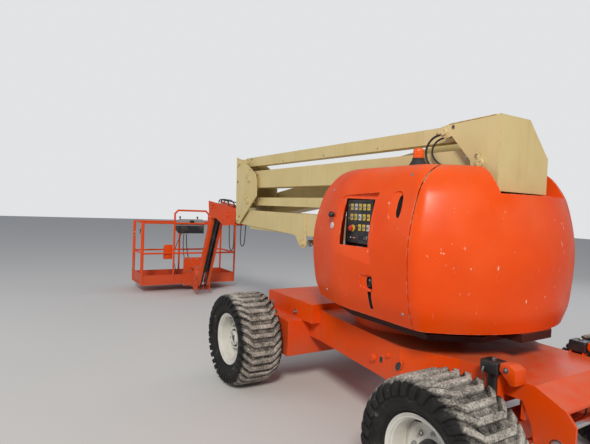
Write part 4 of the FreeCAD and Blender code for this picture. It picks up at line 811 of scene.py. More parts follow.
# the scuff weight also sets how strong the painted sheen towards the top is
cover_paint = paint("cover_paint", (0.78, 0.064, 0.0008), (0.80, 0.095, 0.010), (0.66, 0.50, 0.40), chips=0.7, gloss=0.36,
                    scuffs_and_sheen=0.9)
pocket_dark = plain("pocket_shadow", (0.012, 0.006, 0.005), 0.8, dirt=0.1)
for side in ("left", "right"):
    cover = add_piece("cover_skin_" + side, cover_sheet(side == "right"), [cover_paint, pocket_dark], "cover_" + side,
                      "hood_" + side, smooth=32)
    give_wall(cover, 0.007, 0.0022)


def tail_sheet():
    mesh = flat_sheet(SIDE_START + 0.60, HALF_RUN)
    wrap_sheet(mesh)
    cut(mesh, (SLEW_X + SEAM_X, 0, 0), (1, 0, 0), drop=True)
    twin = bmesh.ops.duplicate(mesh, geom=everything(mesh))["geom"]
    bmesh.ops.scale(mesh, verts=only(bmesh.types.BMVert, twin), vec=(1, -1, 1))
    merge_close(mesh, 0.0005)
    # the boom's notch: what stands above its floor between the slot's sides is cut away
    for place, away in (((0, SLOT_HALF, 0), (0, 1, 0)), ((0, -SLOT_HALF, 0), (0, -1, 0)), ((0, 0, NOTCH_FLOOR), (0, 0, 1))):
        cut(mesh, place, away)
    centres = {f: f.calc_center_median() for f in mesh.faces}
    gone = [f for f, c in centres.items() if abs(c.y) < SLOT_HALF and c.z > NOTCH_FLOOR]
    bmesh.ops.delete(mesh, geom=gone, context="FACES")

    def draw_out(inside, axis, to):
        """Draw the open rim on whose points inside() holds along an axis to one value."""
        rim = [e for e in mesh.edges if e.is_boundary and all(inside(v.co) for v in e.verts)
               and (axis == 2 or any(abs(v.co.y) < SLOT_HALF - 1e-4 for v in e.verts))]
        for vertex in only(bmesh.types.BMVert, bmesh.ops.extrude_edge_only(mesh, edges=rim)["geom"]):
            vertex.co[axis] = to

    # walls down the notch's sides and a floor between them
    draw_out(lambda co: abs(abs(co.y) - SLOT_HALF) < 1e-4 and co.z > NOTCH_FLOOR - 1e-4, 2, NOTCH_FLOOR)
    draw_out(lambda co: abs(co.z - NOTCH_FLOOR) < 1e-4 and abs(co.y) < SLOT_HALF + 1e-4, 0, NOTCH_WALL_X)
    merge_close(mesh, 0.0004)
    face_out(mesh, Vector((SLEW_X - 0.7, 0, 1.3)))
    return mesh


tail = add_piece("cover_skin_tail", tail_sheet(), [cover_paint], "turntable", "tail_cover", smooth=32)
give_wall(tail, 0.010, 0.0025)


# Ground controls: a black panel behind the left cover's window with switches in yellow surrounds, a
# key, an hour meter and a red stop; beside the window a black release knob and a pale plug.
def on_cover(x, z, depth=0.0, mirrored=False):
    """A frame on the cover's skin: Z looks outward, Y up along the skin."""
    run = side_run(x)
    along = wrap((run + 0.01, z, 0)) - wrap((run - 0.01, z, 0))
    rise = wrap((run, z + 0.01, 0)) - wrap((run, z - 0.01, 0))
    out = along.cross(rise).normalized()
    if out.y < 0:
        out = -out
    up = rise.normalized()
    made = Matrix((up.cross(out).normalized(), up, out)).transposed().to_4x4()
    made.translation = wrap((run, z, depth))
    return Matrix.Scale(-1, 4, (0, 1, 0)) @ made if mirrored else made


def rounded_box(size, rounding, segments=2, at=(0, 0, 0)):
    """A box about a point with all its edges rounded."""
    mesh = bmesh.new()
    bmesh.ops.create_cube(mesh, size=1.0)
    bmesh.ops.scale(mesh, verts=mesh.verts, vec=size)
    soften(mesh, mesh.edges[:], rounding, segments)
    bmesh.ops.translate(mesh, verts=mesh.verts, vec=at)
    return mesh


def turned(profile, steps=24):
    """A (height, radius) profile turned about Z; a zero radius closes an end."""
    mesh = spun(profile, steps)
    bmesh.ops.transform(mesh, verts=mesh.verts, matrix=about("X", math.pi / 2))
    return mesh


yellow_plastic = plain("switch_yellow", (0.62, 0.42, 0.04), 0.5, dirt=0.4)
white_plastic = plain("pale_plastic", (0.55, 0.53, 0.48), 0.45, dirt=0.4)
red_plastic = plain("stop_red", (0.5, 0.02, 0.012), 0.32, dirt=0.25)
# near-black: the hour meter's glass, and also the discs and plates set in bores and holes as their painted shade
glass_and_hole_shade = plain("meter_glass_and_hole_shade", (0.012, 0.016, 0.02), 0.12, dirt=0.1)
panel_low, panel_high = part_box("ground_panel")
round_edges("ground_panel", 0.004)
mesh = bmesh.new()


def on_panel(x, z):
    """Z looks out of the panel (+Y); x is measured forward from its middle, z is the height."""
    made = Matrix(((1, 0, 0), (0, 0, 1), (0, 1, 0))).to_4x4()
    made.translation = Vector(((panel_low.x + panel_high.x) / 2 + x, panel_high.y, z))
    return made


# the box round the panel, and a raised bezel on its face
put(mesh, rounded_box((0.352, 0.400, 0.012), 0.004, 2, (0.010, 0, -0.030)), 0, on_panel(0, 1.572))
for x, z, long, tall in ((0, 1.7125, 0.262, 0.012), (0, 1.4205, 0.262, 0.012), (-0.126, 1.5665, 0.012, 0.300),
                         (0.126, 1.5665, 0.012, 0.300)):
    put(mesh, rounded_box((long, tall, 0.010), 0.003), 0, on_panel(x, z))
# three rows of toggle switches: height, slot of each switch's surround
random.seed(9)
for z, surrounds in ((1.672, (1, 1, 1, 2, 1)), (1.600, (1, 1, 2, 1, 1)), (1.528, (2, 1, 1))):
    for k, surround in enumerate(surrounds):
        at = on_panel((k - 2) * 0.045, z)
        put(mesh, rounded_box((0.030, 0.044, 0.003), 0.001, 1), surround, at)
        put(mesh, nut(0.0085, 0.006), 3, at)
        put(mesh, turned([(0.0, 0.0032), (0.020, 0.0026), (0.026, 0.0042), (0.031, 0.0036), (0.033, 0.0)], 12), 3,
            at @ about("X", random.choice((-0.35, 0.0, 0.35))))
STOP, KEY, METER = on_panel(0.072, 1.520), on_panel(-0.085, 1.458), on_panel(-0.020, 1.458)
put(mesh, turned([(0.0, 0.024), (0.006, 0.024), (0.007, 0.014), (0.018, 0.014)], 28), 1, STOP)
put(mesh, turned([(0.016, 0.0), (0.016, 0.019), (0.022, 0.021), (0.029, 0.019), (0.033, 0.011), (0.034, 0.0)], 28), 4, STOP)
put(mesh, turned([(0.0, 0.014), (0.008, 0.013), (0.009, 0.009), (0.009, 0.0)], 20), 3, KEY)
put(mesh, rounded_box((0.003, 0.018, 0.020), 0.001, 1, (0, 0, 0.018)), 3, KEY)
put(mesh, rounded_box((0.052, 0.030, 0.006), 0.002), 0, METER)
put(mesh, rounded_box((0.044, 0.022, 0.002), 0.0008, 1, (0, 0, 0.0035)), 5, METER)
for k in range(4):
    put(mesh, turned([(0.0, 0.005), (0.003, 0.0045), (0.0045, 0.0)], 12), 2 if k % 2 else 4,
        on_panel(0.034 + 0.020 * k, 1.452))
add_piece("ground_switches", mesh, [black_plastic, yellow_plastic, white_plastic, zinc, red_plastic, glass_and_hole_shade], "turntable")

# cover hardware: release knob, plug, paddle latches in their pockets
for side in ("left", "right"):
    mirrored = side == "right"
    mesh = bmesh.new()
    if not mirrored:
        put(mesh, turned([(-0.006, 0.014), (0.012, 0.013), (0.016, 0.021), (0.028, 0.024), (0.038, 0.020), (0.043, 0.010),
                          (0.044, 0.0)], 28), 0, on_cover(0.065, 1.605))
        put(mesh, turned([(-0.006, 0.025), (0.004, 0.025), (0.007, 0.021), (0.008, 0.0)], 28), 1, on_cover(0.062, 1.528))
        put(mesh, nut(0.007, 0.010), 2, on_cover(0.064, 1.566))
    x, z = LATCH_X - 0.022, LATCH_Z
    put(mesh, rounded_box((0.040, 0.062, 0.012), 0.004), 0, on_cover(x, z, 0.026, mirrored))
    put(mesh, rounded_box((0.026, 0.020, 0.022), 0.005, 2, (0, -0.018, 0.008)), 0, on_cover(x, z, 0.024, mirrored))
    put(mesh, turned([(0.0, 0.007), (0.004, 0.0065), (0.005, 0.0)], 16), 2, on_cover(x, z + 0.018, 0.019, mirrored))
    for x, z in ((-0.68, 1.885), (-0.68, 1.02), (0.20, 1.02), (0.24, 1.80)):
        put(mesh, turned([(-0.001, 0.011), (0.003, 0.010), (0.005, 0.005), (0.0052, 0.0)], 16), 2,
            on_cover(x, z, 0.0, mirrored))
    if mirrored:
        agree(mesh)
    add_piece("cover_fittings_" + side, mesh, [black_plastic, white_plastic, zinc], "cover_" + side)

# Beacon: a ribbed amber dome on a tapered black rubber foot, on the left cover's top.
low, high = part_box("beacon")
tall, foot = high.z - low.z, (high.x - low.x) / 2
LENS_SECTION = [
    # share of the height, share of the foot's radius
    (0.42, 0.56), (0.48, 0.60), (0.55, 0.60), (0.56, 0.57), (0.63, 0.57), (0.64, 0.60), (0.71, 0.60), (0.72, 0.57),
    (0.79, 0.57), (0.80, 0.59), (0.87, 0.58), (0.94, 0.50), (0.985, 0.30), (1.0, 0.0),
]
mesh = bmesh.new()
put(mesh, turned([(0.0, foot), (0.006, foot), (0.012, foot * 0.93), (tall * 0.34, foot * 0.66), (tall * 0.36, foot * 0.68),
                  (tall * 0.42, foot * 0.68), (tall * 0.43, foot * 0.60), (tall * 0.43, 0.0)], 40))
lens = turned([(tall * h, foot * r) for h, r in LENS_SECTION], 72)
for vertex in lens.verts:
    swell = 1 + 0.022 * math.cos(18 * math.atan2(vertex.co.y, vertex.co.x))
    vertex.co.x *= swell
    vertex.co.y *= swell
put(mesh, lens, 1)
bmesh.ops.translate(mesh, verts=mesh.verts, vec=((low.x + high.x) / 2, (low.y + high.y) / 2, low.z))
amber = plain("amber_lens", (0.85, 0.10, 0.004), 0.22, grain=20, dirt=0.3, dirt_colour=(0.5, 0.2, 0.06))
add_piece("beacon_dome", mesh, [rubber, amber], "cover_left", "beacon", smooth=40)


# Tower: two stacked parallelograms of box tubes between the mast, the elbow upright and the rear
# upright. The pins have flanged ends with keeper plates; the doubler plates are welded all round.
def machine(x, y, z):
    return Vector((SLEW_X + x, y, z))


def at_point(x, y, z):
    return Matrix.Translation(machine(x, y, z))


def facing(x, y, z, side=1):
    """Z looks to the machine's left (1) or right (-1), Y looks up."""
    made = Matrix(((-side, 0, 0), (0, 0, side), (0, 1, 0))).to_4x4()
    made.translation = machine(x, y, z)
    return made


def swept(points, radius, steps=8, jitter=0.0):
    """A round bar along a line of points, closed at its ends."""
    mesh = bmesh.new()
    points = [Vector(p) for p in points]
    rings = []
    side = None
    for k, point in enumerate(points):
        along = (points[min(len(points) - 1, k + 1)] - points[max(0, k - 1)]).normalized()
        side = side or along.orthogonal().normalized()
        side = (side - along * side.dot(along)).normalized()
        up = along.cross(side)
        r = radius * (1 + jitter * (noise.noise(point * 60) if jitter else 0))
        angles = [2 * math.pi * j / steps for j in range(steps)]
        rings.append([mesh.verts.new(point + r * (side * math.cos(a) + up * math.sin(a))) for a in angles])
    for a, b in zip(rings, rings[1:]):
        for j in range(steps):
            mesh.faces.new((a[j], a[(j + 1) % steps], b[(j + 1) % steps], b[j]))
    mesh.faces.new(list(reversed(rings[0])))
    mesh.faces.new(rings[-1])
    agree(mesh)
    return mesh


def bead(points, radius=0.005):
    """A rippled weld bead along a line of points from the slew axis."""
    points = [machine(*p) for p in points]
    fine = []
    for a, b in zip(points, points[1:]):
        parts = max(1, round((b - a).length / 0.012))
        fine += [a.lerp(b, k / parts) for k in range(parts)]
    return swept(fine + points[-1:], radius, 6, 0.5)


def pin_end(radius, keeper):
    """A pin's flanged end with its bolted keeper plate; keeper is the plate's direction."""
    mesh = turned([(-0.002, radius * 1.55), (0.005, radius * 1.50), (0.0055, radius), (0.014, radius), (0.018, radius * 0.86),
                   (0.018, radius * 0.30), (0.013, radius * 0.22), (0.012, 0.0)], 28)
    lean = about("Z", keeper)
    put(mesh, rounded_box((0.026, radius * 2.3, 0.007), 0.003, 2, (0, radius * 1.5, 0.010)), 0, lean)
    put(mesh, nut(0.0105, 0.009), 0, lean @ Matrix.Translation((0, radius * 2.25, 0.012)))
    return mesh


def ringed_hole(mesh, at, radius, ring, steps):
    """A raised ring that stands a little proud of its plate, round a near-black disc that paints the shade in its bore.
    """
    put(mesh, turned(ring, steps), 0, at)
    put(mesh, disc(radius, steps), 2, at @ Matrix.Translation((0, 0, 0.0006)))


TOWER_Y = 0.120
BOOM_Y = -0.152
LEFT, RIGHT = (1,), (-1,)
BOTH = LEFT + RIGHT
PINS = [
    # body, x, height, half width about the tower, sides, pin radius, keeper's direction on the left
    ("turntable", -0.450, 1.475, 0.130, BOTH, 0.030, 0.8), ("turntable", -0.730, 1.710, 0.130, BOTH, 0.030, 2.3),
    ("front_upright", 2.880, 1.475, 0.150, BOTH, 0.030, -0.9), ("front_upright", 2.600, 1.710, 0.150, BOTH, 0.030, 0.9),
    ("front_upright", 2.580, 1.985, 0.150, BOTH, 0.030, 0.9), ("front_upright", 2.880, 2.220, 0.150, BOTH, 0.030, 2.4),
    ("rear_upright", -0.800, 1.985, 0.150, LEFT, 0.030, 0.3), ("rear_upright", -0.500, 2.220, 0.150, LEFT, 0.026, 1.6),
    ("rear_upright", -0.700, 2.130, 0.390, RIGHT, 0.034, -0.9), ("rear_upright", -0.568, 1.855, 0.390, RIGHT, 0.024, -0.4),
    ("lower_boom", 1.322, 1.280, 0.112, BOTH, 0.022, 0.4),
]
BODIES = ("turntable", "front_upright", "rear_upright", "lower_boom", "mid_boom", "lower_link", "top_link", "main_boom")
fittings = {body: bmesh.new() for body in BODIES}
for body, x, z, half, sides, radius, keeper in PINS:
    for side in sides:
        put(fittings[body], pin_end(radius, side * keeper), 0, facing(x, TOWER_Y + side * half, z, side))
# weld beads: the lower boom's doublers, the elbow upright's back, the mast plates' feet
for y in (0.231, 0.009):
    put(fittings["lower_boom"], bead([(x, y, z) for x, z in (
        (1.345, 1.590), (1.318, 1.578), (1.302, 1.50), (1.294, 1.42), (1.288, 1.372), (1.264, 1.30), (1.264, 1.275),
        (1.288, 1.240), (1.312, 1.231))], 0.006))
for y in (0.256, -0.016):
    put(fittings["front_upright"], bead([(2.962, y, 1.63), (2.962, y, 2.26)]))
for y in (0.252, 0.228, 0.012, -0.012):
    put(fittings["turntable"], bead([(-0.82, y, 0.896), (0.36, y, 0.896)], 0.006))
put(fittings["rear_upright"], bead([(-0.90, 0.2715, 2.284), (-0.535, 0.2715, 2.270)], 0.003))
SOCKETS = [
    # body, x, height, sides, radius
    ("front_upright", 2.915, 1.960, BOTH, 0.019), ("front_upright", 2.560, 2.105, LEFT, 0.012),
    ("rear_upright", -0.870, 1.860, LEFT, 0.016), ("rear_upright", -0.570, 2.245, LEFT, 0.014),
]
# each socket's bore is a near-black disc of painted shade
for body, x, z, sides, radius in SOCKETS:
    ring = [(-0.001, radius * 1.25), (0.0025, radius * 1.15), (0.0025, radius), (0.0005, radius * 0.97)]
    for side in sides:
        ringed_hole(fittings[body], facing(x, TOWER_Y + side * 0.150, z, side), radius, ring, 24)
# grease nipples on the link and boom ends: body, x, height, half width about the tower
for body, x, z, half in (("mid_boom", 2.45, 2.04, 0.100), ("mid_boom", -0.66, 2.04, 0.100), ("lower_link", 2.45, 1.745, 0.050),
                         ("top_link", 2.72, 2.262, 0.050)):
    for side in BOTH:
        put(fittings[body], nut(0.012, 0.008, 0.010), 1, facing(x, TOWER_Y + side * half, z, side))
# clamps for the hoses inside the top link
for x in (0.30, 1.10, 1.90):
    put(fittings["top_link"], rounded_box((0.030, 0.050, 0.0035), 0.0015, 1), 0, facing(x, 0.1705, 2.185))
    put(fittings["top_link"], nut(0.008, 0.006), 1, facing(x, 0.172, 2.185))
mesh = fittings["main_boom"]
BOOM_SLOPE = math.radians(-8)
BOOM_TILT = about("Y", -BOOM_SLOPE)
REARWARD = about("Y", -math.pi / 2)


def on_main_boom(along, across, up):
    """A point from the main boom's pivot along, across and above its own axis."""
    c, s = math.cos(BOOM_SLOPE), math.sin(BOOM_SLOPE)
    return -0.700 + along * c - up * s, BOOM_Y + across, 2.130 + along * s + up * c


# wear-pad bolts at the main boom's mouth
for along in (3.20, 3.30):
    for up in (-0.085, 0.085):
        for side in BOTH:
            put(mesh, nut(0.011, 0.010), 1, facing(*on_main_boom(along, side * 0.100, up), side))
# the plate that closes the main boom's rear end, with its bolts, and at the bore for the hoses a near-black lip and
# disc as painted shade
put(mesh, rounded_box((0.008, 0.201, 0.281), 0.002, 2), 0, at_point(*on_main_boom(-0.0945, 0, 0)) @ BOOM_TILT)
for across, up in ((-0.072, -0.112), (0.072, -0.112), (-0.072, 0.112), (0.072, 0.112)):
    put(mesh, nut(0.010, 0.009, 0.004), 1, at_point(*on_main_boom(-0.0980, across, up)) @ BOOM_TILT @ REARWARD)
bore_at = at_point(*on_main_boom(-0.0985, 0, 0.02)) @ BOOM_TILT @ REARWARD
put(mesh, turned([(-0.001, 0.046), (0.004, 0.045), (0.006, 0.041), (0.004, 0.037), (0.0004, 0.036)], 36), 2, bore_at)
put(mesh, disc(0.037, 36), 2, bore_at @ Matrix.Translation((0, 0, 0.0006)))
for body, mesh in fittings.items():
    merge_close(mesh)
    add_piece("fittings_" + body, mesh, [cream_steel, zinc, glass_and_hole_shade], body)

# Cylinders: gland nuts and wiper rings where the rods leave their barrels, and ports.
CYLINDERS = [
    # name, y, barrel radius, rod radius, barrel's share, points up, eye's place in the barrel's and in the rod's box
    ("tower", TOWER_Y, 0.052, 0.032, 0.9, True, (0.038, 0.038), (0.038, 0.038)),
    ("main", BOOM_Y, 0.045, 0.028, 0.9, False, (0.036, 0.040), (0.034, 0.034)),
    ("jib", BOOM_Y, 0.030, 0.018, 0.82, False, (0.030, 0.030), (0.032, 0.032)),
]
for name, y, barrel, rod, share, rises, foot_in, head_in in CYLINDERS:
    low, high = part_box(name + "_cylinder_barrel")
    rod_low, rod_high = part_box(name + "_cylinder_rod")
    foot = Vector((low.x + foot_in[0], y, low.z + foot_in[1] if rises else high.z - foot_in[1]))
    head = Vector((rod_high.x - head_in[0], y, rod_high.z - head_in[1] if rises else rod_low.z + head_in[1]))
    at = (head - foot).to_track_quat("Z", "Y").to_matrix().to_4x4()
    at.translation = foot.lerp(head, share)
    gland = turned([(-0.070, barrel), (-0.068, barrel + 0.006), (-0.020, barrel + 0.006), (-0.016, barrel + 0.002),
                    (0.004, barrel + 0.001), (0.010, barrel - 0.006), (0.014, rod + 0.008), (0.018, rod + 0.005),
                    (0.018, rod + 0.001)], 36)
    port = turned([(0.0, 0.016), (0.016, 0.015), (0.018, 0.011), (0.030, 0.011), (0.031, 0.007), (0.031, 0.0)], 16)
    put(gland, port, 1, Matrix.Translation((0, barrel, -0.10)) @ about("X", -math.pi / 2))
    bmesh.ops.transform(gland, verts=gland.verts, matrix=at)
    add_piece("gland_" + name, gland, [black_steel, zinc], name + "_barrel")


# Chassis fittings: filler cap, square and oval inspection holes on both bulged sides, plate bolts,
# worn rings round the tie-down holes, and the square caps and brackets of the oscillation cylinders.
def on_side(x, z, side, lift=0.0):
    """A frame on the bulged chassis side; it leans with the plate."""
    made = facing(x, side * (0.566 - (x + 0.204) * 0.1205 + lift), z, side)
    return made @ about("Y", math.radians(-6.9) * side)


def prism(outline, y0, y1, rounding, segments=2):
    """A plate or block across the machine, its edges rounded; outline gives (x, height) points."""
    made = bmesh.new()
    near, far = [[made.verts.new(machine(x, y, z)) for x, z in outline] for y in (y0, y1)]
    for k in range(len(outline)):
        after = (k + 1) % len(outline)
        made.faces.new((near[k], near[after], far[after], far[k]))
    made.faces.new(near)
    made.faces.new(far)
    agree(made)
    soften(made, made.edges[:], rounding, segments)
    return made


def bolted(mesh, at, washer, steps, size, lift=0.002):
    """A washer and its nut on a plate."""
    put(mesh, turned(washer, steps), 1, at)
    put(mesh, nut(*size), 1, at @ Matrix.Translation((0, 0, lift)))


OVAL_HOLE = about("Z", 0.9) @ Matrix.Diagonal((1.0, 0.55, 1.0, 1.0))
BRACKET = [(-1.174, 0.795), (-1.180, 0.836), (-1.232, 0.838), (-1.272, 0.818), (-1.278, 0.736), (-1.246, 0.728)]
mesh = bmesh.new()
for side in BOTH:
    # filler cap, small cap, the square hole's frame and the oval hole's ring, with a near-black plate and disc inside
    # them as the holes' painted shade
    put(mesh, turned([(-0.004, 0.034), (0.004, 0.033), (0.006, 0.028), (0.018, 0.027), (0.022, 0.022), (0.022, 0.012),
                      (0.020, 0.0)], 32), 0, on_side(-0.204, 0.580, side))
    put(mesh, turned([(-0.004, 0.020), (0.003, 0.019), (0.004, 0.015), (0.014, 0.014), (0.016, 0.010), (0.016, 0.0)]), 0,
        on_side(-0.377, 0.649, side))
    put(mesh, rounded_box((0.050, 0.056, 0.006), 0.0025, 1), 0, on_side(-0.300, 0.596, side))
    put(mesh, rounded_box((0.036, 0.042, 0.003), 0.0012, 1, (0, 0, 0.0022)), 2, on_side(-0.300, 0.596, side))
    put(mesh, turned([(-0.004, 0.052), (0.004, 0.050), (0.004, 0.042), (0.001, 0.040)], 36), 0,
        on_side(-0.490, 0.610, side) @ OVAL_HOLE)
    put(mesh, disc(0.041, 36), 2, on_side(-0.490, 0.610, side, 0.0014) @ OVAL_HOLE)
    for x in (0.895, 1.330):
        bolted(mesh, facing(x, side * 0.560, 0.682, side), [(-0.002, 0.026), (0.003, 0.025), (0.0035, 0.010)], 24,
               (0.015, 0.012, 0.008), 0.003)
    put(mesh, turned([(-0.002, 0.043), (0.0018, 0.041), (0.0022, 0.034), (-0.006, 0.0325)], 40), 1,
        facing(-1.465, side * 0.4302, 0.470, side))
    # the bracket beside the oscillation cylinder, a folded plate with its bolt
    put(mesh, prism(BRACKET, side * 0.424, side * 0.520, 0.004))
    bolted(mesh, facing(-1.216, side * 0.520, 0.806, side), [(-0.002, 0.017), (0.002, 0.016), (0.0025, 0.008)], 20,
           (0.011, 0.009, 0.006))
    # the cylinder's square cap, its port, pressure pipe and collar
    put(mesh, rounded_box((0.112, 0.100, 0.074), 0.010, 3, machine(-1.110, side * 0.475, 0.792)), 3)
    put(mesh, nut(0.014, 0.012), 1, at_point(-1.110, side * 0.475, 0.829))
    put(mesh, swept([machine(x, side * y, z) for x, y, z in ((-1.085, 0.530, 0.790), (-1.083, 0.536, 0.770),
                                                             (-1.080, 0.520, 0.730), (-1.080, 0.512, 0.620))], 0.006, 10), 1)
    put(mesh, turned([(0.0, 0.036), (0.002, 0.041), (0.030, 0.041), (0.034, 0.036)], 32), 3,
        at_point(-1.110, side * 0.475, 0.585))
    put(mesh, bead([(0.785, side * 0.562, 0.632), (1.41, side * 0.562, 0.632)]))
merge_close(mesh)
add_piece("fittings_chassis", mesh, [orange_steel, zinc, glass_and_hole_shade, black_steel], "chassis")
round_edges("oscillation_cylinders", 0.003)

# Jib: flanged pins with keepers at the levelling pin, the jib's head and the rotator's foot, cross
# bolts in the rails and a bored hole in the bracket, its bore a near-black disc of painted shade.
JIB_HEAD = Vector((4.5616, 0, 1.6006))
JIB_FOOT = Vector((5.2150, 0, 0.2170))
JIB_PINS = [
    # body, x, height, pin radius, keeper's direction on the left
    ("jib_bracket", 3.9066, 1.4826, 0.027, 0.5), ("jib_bracket", JIB_HEAD.x, JIB_HEAD.z, 0.024, -0.7),
    ("platform_support", JIB_FOOT.x, JIB_FOOT.z, 0.024, 0.7),
]
jib_fittings = {body: bmesh.new() for body in ("jib_bracket", "platform_support", "jib_arm")}
for side in BOTH:
    y = BOOM_Y + side * 0.124
    for body, x, z, radius, keeper in JIB_PINS:
        put(jib_fittings[body], pin_end(radius, side * keeper), 0, facing(x, y, z, side))
    mesh = jib_fittings["jib_bracket"]
    for x, z, radius in ((4.390, 1.590, 0.017), (4.080, 1.410, 0.012)):
        ring = [(-0.001, radius * 1.35), (0.003, radius * 1.25), (0.003, radius), (0.0005, radius * 0.96)]
        ringed_hole(mesh, facing(x, y, z, side), radius, ring, 28)
    for x, z in ((4.120, 1.644), (4.250, 1.662), (4.380, 1.670)):
        put(mesh, nut(0.009, 0.008, 0.005), 1, facing(x, y, z, side))
    for share in (0.16, 0.5, 0.86):
        x, _, z = JIB_HEAD.lerp(JIB_FOOT, share)
        bolted(jib_fittings["jib_arm"], facing(x, BOOM_Y + side * 0.106, z, side),
               [(-0.001, 0.016), (0.002, 0.015), (0.0025, 0.008)], 18, (0.010, 0.009, 0.006))
for body, mesh in jib_fittings.items():
    merge_close(mesh)
    add_piece("fittings_" + body, mesh, [orange_steel, zinc, glass_and_hole_shade], body)

# Platform: welded collars at the posts' feet, the bolted mount plate, a bar grating on the floor, a
# folded manual box on the near rail, the foot switch, and the gate's hinge sleeves and latch.
basket_low, basket_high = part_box("basket")
near_x, far_x = basket_low.x - SLEW_X, basket_high.x - SLEW_X
right_y, left_y = basket_low.y, basket_high.y
POST_INSET = 0.018
POSTS = [(near_x + POST_INSET, y) for y in (right_y + POST_INSET, left_y - POST_INSET, -0.430, 0.230)]
POSTS += [(far_x - POST_INSET, y) for y in (right_y + POST_INSET, left_y - POST_INSET, -0.100)]
MANUAL_BOX = [(5.758, 0.600), (5.758, 0.865), (5.772, 0.868), (5.806, 0.846), (5.838, 0.790), (5.838, 0.606), (5.832, 0.600)]
TREADLE_LEAN = about("Y", math.radians(12))
GRATE_Z = 0.157
GRATE_STEP = 0.044
grate_steel = plain("grate_steel", (0.34, 0.34, 0.33), 0.45, metal=0.9, dirt=0.5)
mesh = bmesh.new()
for x, y in POSTS:
    for z in (0.310, 0.706, 1.262):
        put(mesh, turned([(-0.006, 0.0178), (-0.003, 0.0215), (0.003, 0.0218), (0.006, 0.0178)], 20), 0, at_point(x, y, z))
for y in (-0.330, -0.210, -0.094, 0.026):
    for z in (0.600, 0.360, 0.118):
        bolted(mesh, at_point(5.7113, y, z) @ REARWARD, [(-0.001, 0.019), (0.0025, 0.018), (0.003, 0.009)], 20,
               (0.013, 0.011, 0.007), 0.0)
for k in range(6):
    turn = 2 * math.pi * (k + 0.5) / 6
    put(mesh, nut(0.011, 0.010, 0.005), 1, at_point(5.4706 + 0.056 * math.cos(turn), BOOM_Y + 0.056 * math.sin(turn), 0.466))
for k in range(int((left_y - right_y - 0.09) / GRATE_STEP)):
    put(mesh, rounded_box((far_x - near_x - 0.085, 0.005, 0.012), 0.0012, 1,
                          machine((near_x + far_x) / 2, right_y + 0.055 + GRATE_STEP * k, GRATE_Z)), 2)
for k in range(11):
    put(mesh, rounded_box((0.005, left_y - right_y - 0.085, 0.009), 0.0012, 1,
                          machine(near_x + 0.055 + k * 0.065, (left_y + right_y) / 2, GRATE_Z)), 2)
put(mesh, prism(MANUAL_BOX, 0.250, 0.400, 0.003))
put(mesh, rounded_box((0.004, 0.026, 0.040), 0.0015, 1, machine(5.840, 0.325, 0.770)), 1)
# foot switch: a hooded housing with a ribbed treadle
put(mesh, rounded_box((0.170, 0.120, 0.020), 0.006, 2, machine(6.110, -0.210, 0.176)), 3)
put(mesh, rounded_box((0.070, 0.112, 0.075), 0.016, 3, machine(6.060, -0.210, 0.214)), 3)
put(mesh, rounded_box((0.120, 0.086, 0.012), 0.005, 2), 4, at_point(6.120, -0.210, 0.206) @ TREADLE_LEAN)
for k in range(5):
    put(mesh, rounded_box((0.006, 0.078, 0.004), 0.0015, 1), 3,
        at_point(6.105 + k * 0.016, -0.210, 0.2165 - k * 0.0034) @ TREADLE_LEAN)
merge_close(mesh)
add_piece("fittings_basket", mesh, [orange_steel, zinc, grate_steel, black_plastic, yellow_plastic], "basket")

mesh = bmesh.new()
for z in (0.386, 0.456, 0.986, 1.056):
    put(mesh, turned([(0.0, 0.0139), (0.0005, 0.018), (0.002, 0.019), (0.016, 0.019), (0.0175, 0.018), (0.018, 0.0139)]), 1,
        at_point(6.3786, 0.797, z))
put(mesh, rounded_box((0.060, 0.010, 0.044), 0.003, 2, machine(5.862, 0.814, 1.140)), 1)
put(mesh, rounded_box((0.022, 0.012, 0.090), 0.005, 2, machine(5.866, 0.822, 1.110)), 2)
put(mesh, nut(0.009, 0.008), 1, facing(5.866, 0.827, 1.140))
merge_close(mesh)
add_piece("fittings_gate", mesh, [orange_steel, zinc, black_plastic], "gate")

# Platform controls: a dark case under a pale stepped lid with two booted joysticks, a speed knob,
# rocker switches with lift-up guards and a stop button, on the slope that faces the operator.
CASE_X = 5.7569
TIERS = [
    # slot, y from, y to, outline in x from the case's back and height
    (1, -0.350, 0.150, [(0.002, 1.080), (0.002, 1.238), (0.226, 1.215), (0.226, 1.142)]),
    (0, -0.360, 0.160, [(0.0, 1.226), (0.0, 1.298), (0.006, 1.304), (0.130, 1.304), (0.216, 1.240), (0.230, 1.226),
                        (0.230, 1.196)]),
    (0, -0.332, 0.132, [(0.002, 1.290), (0.002, 1.334), (0.010, 1.340), (0.060, 1.350), (0.206, 1.256), (0.216, 1.246),
                        (0.216, 1.225)]),
]
SLOPE = math.atan2(0.094, 0.146)


def on_slope(along, y, lift=0.0):
    """A frame on the lid's slope, Z away from it and X down the slope."""
    c, s = math.cos(SLOPE), math.sin(SLOPE)
    return at_point(CASE_X + 0.060 + along * c + s * lift, y, 1.350 - along * s + c * lift) @ about("Y", SLOPE)


